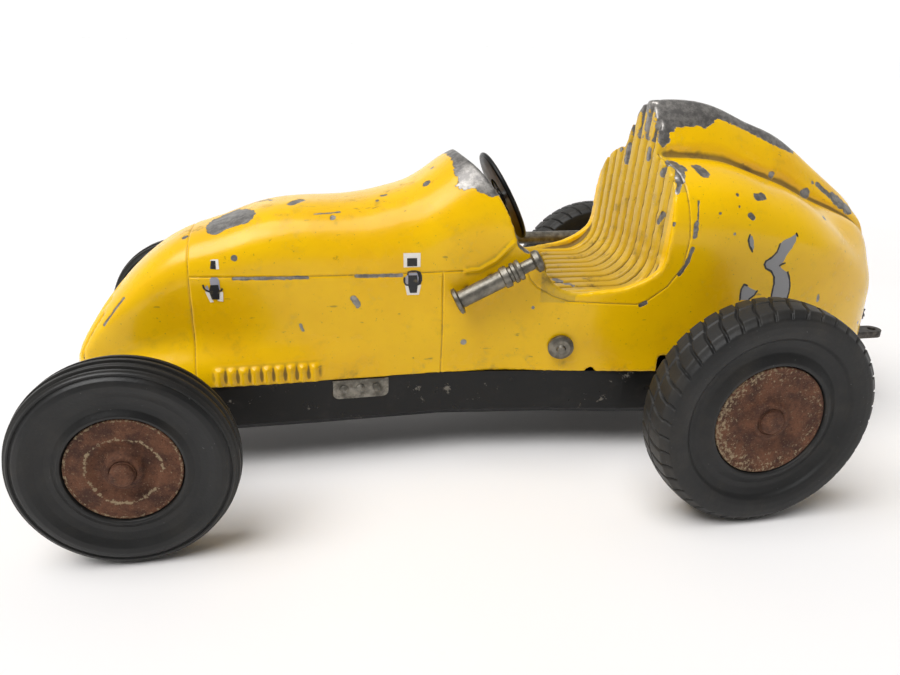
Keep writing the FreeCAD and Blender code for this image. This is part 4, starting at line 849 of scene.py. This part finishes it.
FRONT_DISC = [(-0.8, 12.05), (0.0, 12.1), (-0.1, 11.4), (0.15, 9.6), (0.35, 8.2), (0.2, 7.3),
              (-0.5, 6.3), (-0.75, 5.3), (-0.35, 4.5), (0.6, 4.0), (1.0, 3.5), (1.1, 2.62), (0.3, 2.62)]
REAR_DISC = [(-0.8, 13.85), (0.0, 13.9), (0.1, 13.2), (-0.15, 12.4), (-0.25, 9.0), (-0.7, 7.2),
             (-0.8, 5.6), (-0.3, 4.8), (0.4, 4.4), (0.45, 3.22), (-0.4, 3.22)]


def wheels():
    for side_name, side in (("left", -1), ("right", 1)):
        front_body = "front_wheel_" + side_name
        front_tyre(side, "front_tyre_" + side_name, front_body)
        rear_tyre(side, "rear_tyre_" + side_name, "rear_axle_set")
        for face, outward in (("outer", True), ("inner", False)):
            hub_disc(FRONT, side, "front_hub_%s_%s" % (face, side_name), front_body, FRONT_DISC,
                     ring_wear, outward)
            hub_disc(REAR, side, "rear_hub_%s_%s" % (face, side_name), "rear_axle_set", REAR_DISC,
                     rim_wear, outward)


# ---- the CAD nodes that stay ---------------------------------------------------------------
KEPT = {
    "pan": (["belly_pan"], 0.25),
    "aluminium": (["fuel_pump", "side_stud_left", "exhaust_pipe", "dash_bar"], 0.12),
    "plate": (["sill_plate_left", "sill_plate_right", "sill_rivets"], 0.08),
    "dark_steel": (["tail_lug", "tail_screw", "pan_screws"], 0.18),
    "wheel_black": (["steering_wheel"], 0.12),
    "rust": (["front_axle", "rear_axle", "front_bush_left", "front_bush_right", "rear_bush_left",
              "rear_bush_right"], 0.2),
    "steel": (["steering_shaft", "steering_collars", "front_axle_collars", "rear_axle_collars",
               "front_axle_block_left", "front_axle_block_right", "rear_bearing_left",
               "rear_bearing_right", "drive_plate_left", "drive_plate_right", "drive_spacers",
               "drive_screws", "idler_shaft", "flywheel_shaft", "flywheel"], 0.1),
    "brass": (["drive_gear", "idler_pinion", "idler_gear", "flywheel_pinion"], 0.05),
}


def dress_kept_nodes():
    for material, (names, bevel) in KEPT.items():
        for name in names:
            node = NODES[name]
            node.data.materials.clear()
            node.data.materials.append(MAT[material])
            weld = node.modifiers.new("weld", "WELD")
            weld.merge_threshold = 0.000004
            soft = node.modifiers.new("soft_edges", "BEVEL")
            soft.width = bevel * MM
            soft.segments = 3
            soft.limit_method = "ANGLE"
            soft.angle_limit = math.radians(32)
            soft.use_clamp_overlap = True


# ---- stage -------------------------------------------------------------------------------------
def floor():
    size = 60.0
    sheet = new_object("floor", [(-size, -size, 0), (size, -size, 0), (size, size, 0), (-size, size, 0)],
                       [(0, 1, 2, 3)], floor_paper(), smooth=False)
    sheet.location.z = -0.0001


def sun(name, energy, spread, direction):
    lamp = bpy.data.lights.new(name, "SUN")
    lamp.energy = energy
    lamp.angle = math.radians(spread)
    obj = bpy.data.objects.new(name, lamp)
    obj.rotation_euler = Vector(direction).to_track_quat("-Z", "Y").to_euler()
    bpy.context.scene.collection.objects.link(obj)


def softbox(name, place, aim, size, power):
    lamp = bpy.data.lights.new(name, "AREA")
    lamp.shape = "RECTANGLE"
    lamp.size, lamp.size_y = size
    lamp.energy = power
    obj = bpy.data.objects.new(name, lamp)
    obj.location = place
    obj.rotation_euler = (Vector(aim) - Vector(place)).to_track_quat("-Z", "Y").to_euler()
    bpy.context.scene.collection.objects.link(obj)


def eased_range(tree, source, low, high, at_low, at_high):
    """Node that eases a value from at_low at low to at_high at high."""
    made = tree.nodes.new("ShaderNodeMapRange")
    made.interpolation_type = "SMOOTHSTEP"
    for socket, number in zip(list(made.inputs)[1:5], (low, high, at_low, at_high)):
        socket.default_value = number
    tree.links.new(source, made.inputs[0])
    return made.outputs[0]


def surroundings():
    """White room, brightest near the horizon and behind the car."""
    world = bpy.data.worlds.new("studio")
    bpy.context.scene.world = world
    world.use_nodes = True
    tree = world.node_tree
    direction = tree.nodes.new("ShaderNodeTexCoord")
    split = tree.nodes.new("ShaderNodeSeparateXYZ")
    tree.links.new(direction.outputs["Generated"], split.inputs[0])
    level = eased_range(tree, split.outputs[2], 0.10, 0.55, 1.08, 0.40)
    room = eased_range(tree, split.outputs[1], -0.55, 0.15, 0.22, 1.0)
    both = tree.nodes.new("ShaderNodeMath")
    both.operation = "MULTIPLY"
    tree.links.new(level, both.inputs[0])
    tree.links.new(room, both.inputs[1])
    sky = tree.nodes["Background"]
    sky.inputs["Color"].default_value = (1.0, 0.995, 0.985, 1.0)
    tree.links.new(both.outputs[0], sky.inputs["Strength"])
    sun("key_light", 2.45, 50.0, (0.42, 0.25, -1.0))
    softbox("hood_light", (-0.55, -0.25, 0.75), (-0.03, 0.0, 0.05), (0.5, 0.3), 1.6)


CAMERA_PLACE = (-0.06094, -0.20025, 0.10915)
CAMERA_TURNS = (11.337, 21.569, 1.2856)      # yaw from +Y, pitch down and roll, in degrees
CAMERA_LENS = 29.70


def camera():
    yaw, pitch, roll = (math.radians(turn) for turn in CAMERA_TURNS)
    look = Vector((math.sin(yaw) * math.cos(pitch), math.cos(yaw) * math.cos(pitch), -math.sin(pitch)))
    right = look.cross(Vector((0, 0, 1))).normalized()
    up = right.cross(look)
    tilted_right = right * math.cos(roll) + up * math.sin(roll)
    tilted_up = up * math.cos(roll) - right * math.sin(roll)
    data = bpy.data.cameras.new("camera")
    data.sensor_width = 36.0
    data.lens = CAMERA_LENS
    data.clip_start = 0.005
    data.clip_end = 200.0
    obj = bpy.data.objects.new("camera", data)
    rotation = Matrix((tilted_right, tilted_up, -look)).transposed()
    obj.matrix_world = Matrix.Translation(CAMERA_PLACE) @ rotation.to_4x4()
    bpy.context.scene.collection.objects.link(obj)
    bpy.context.scene.camera = obj


skin = body_casting()
hood_latches(skin)
wheels()
dress_kept_nodes()
floor()
surroundings()
camera()
bpy.context.scene.view_settings.view_transform = "Standard"
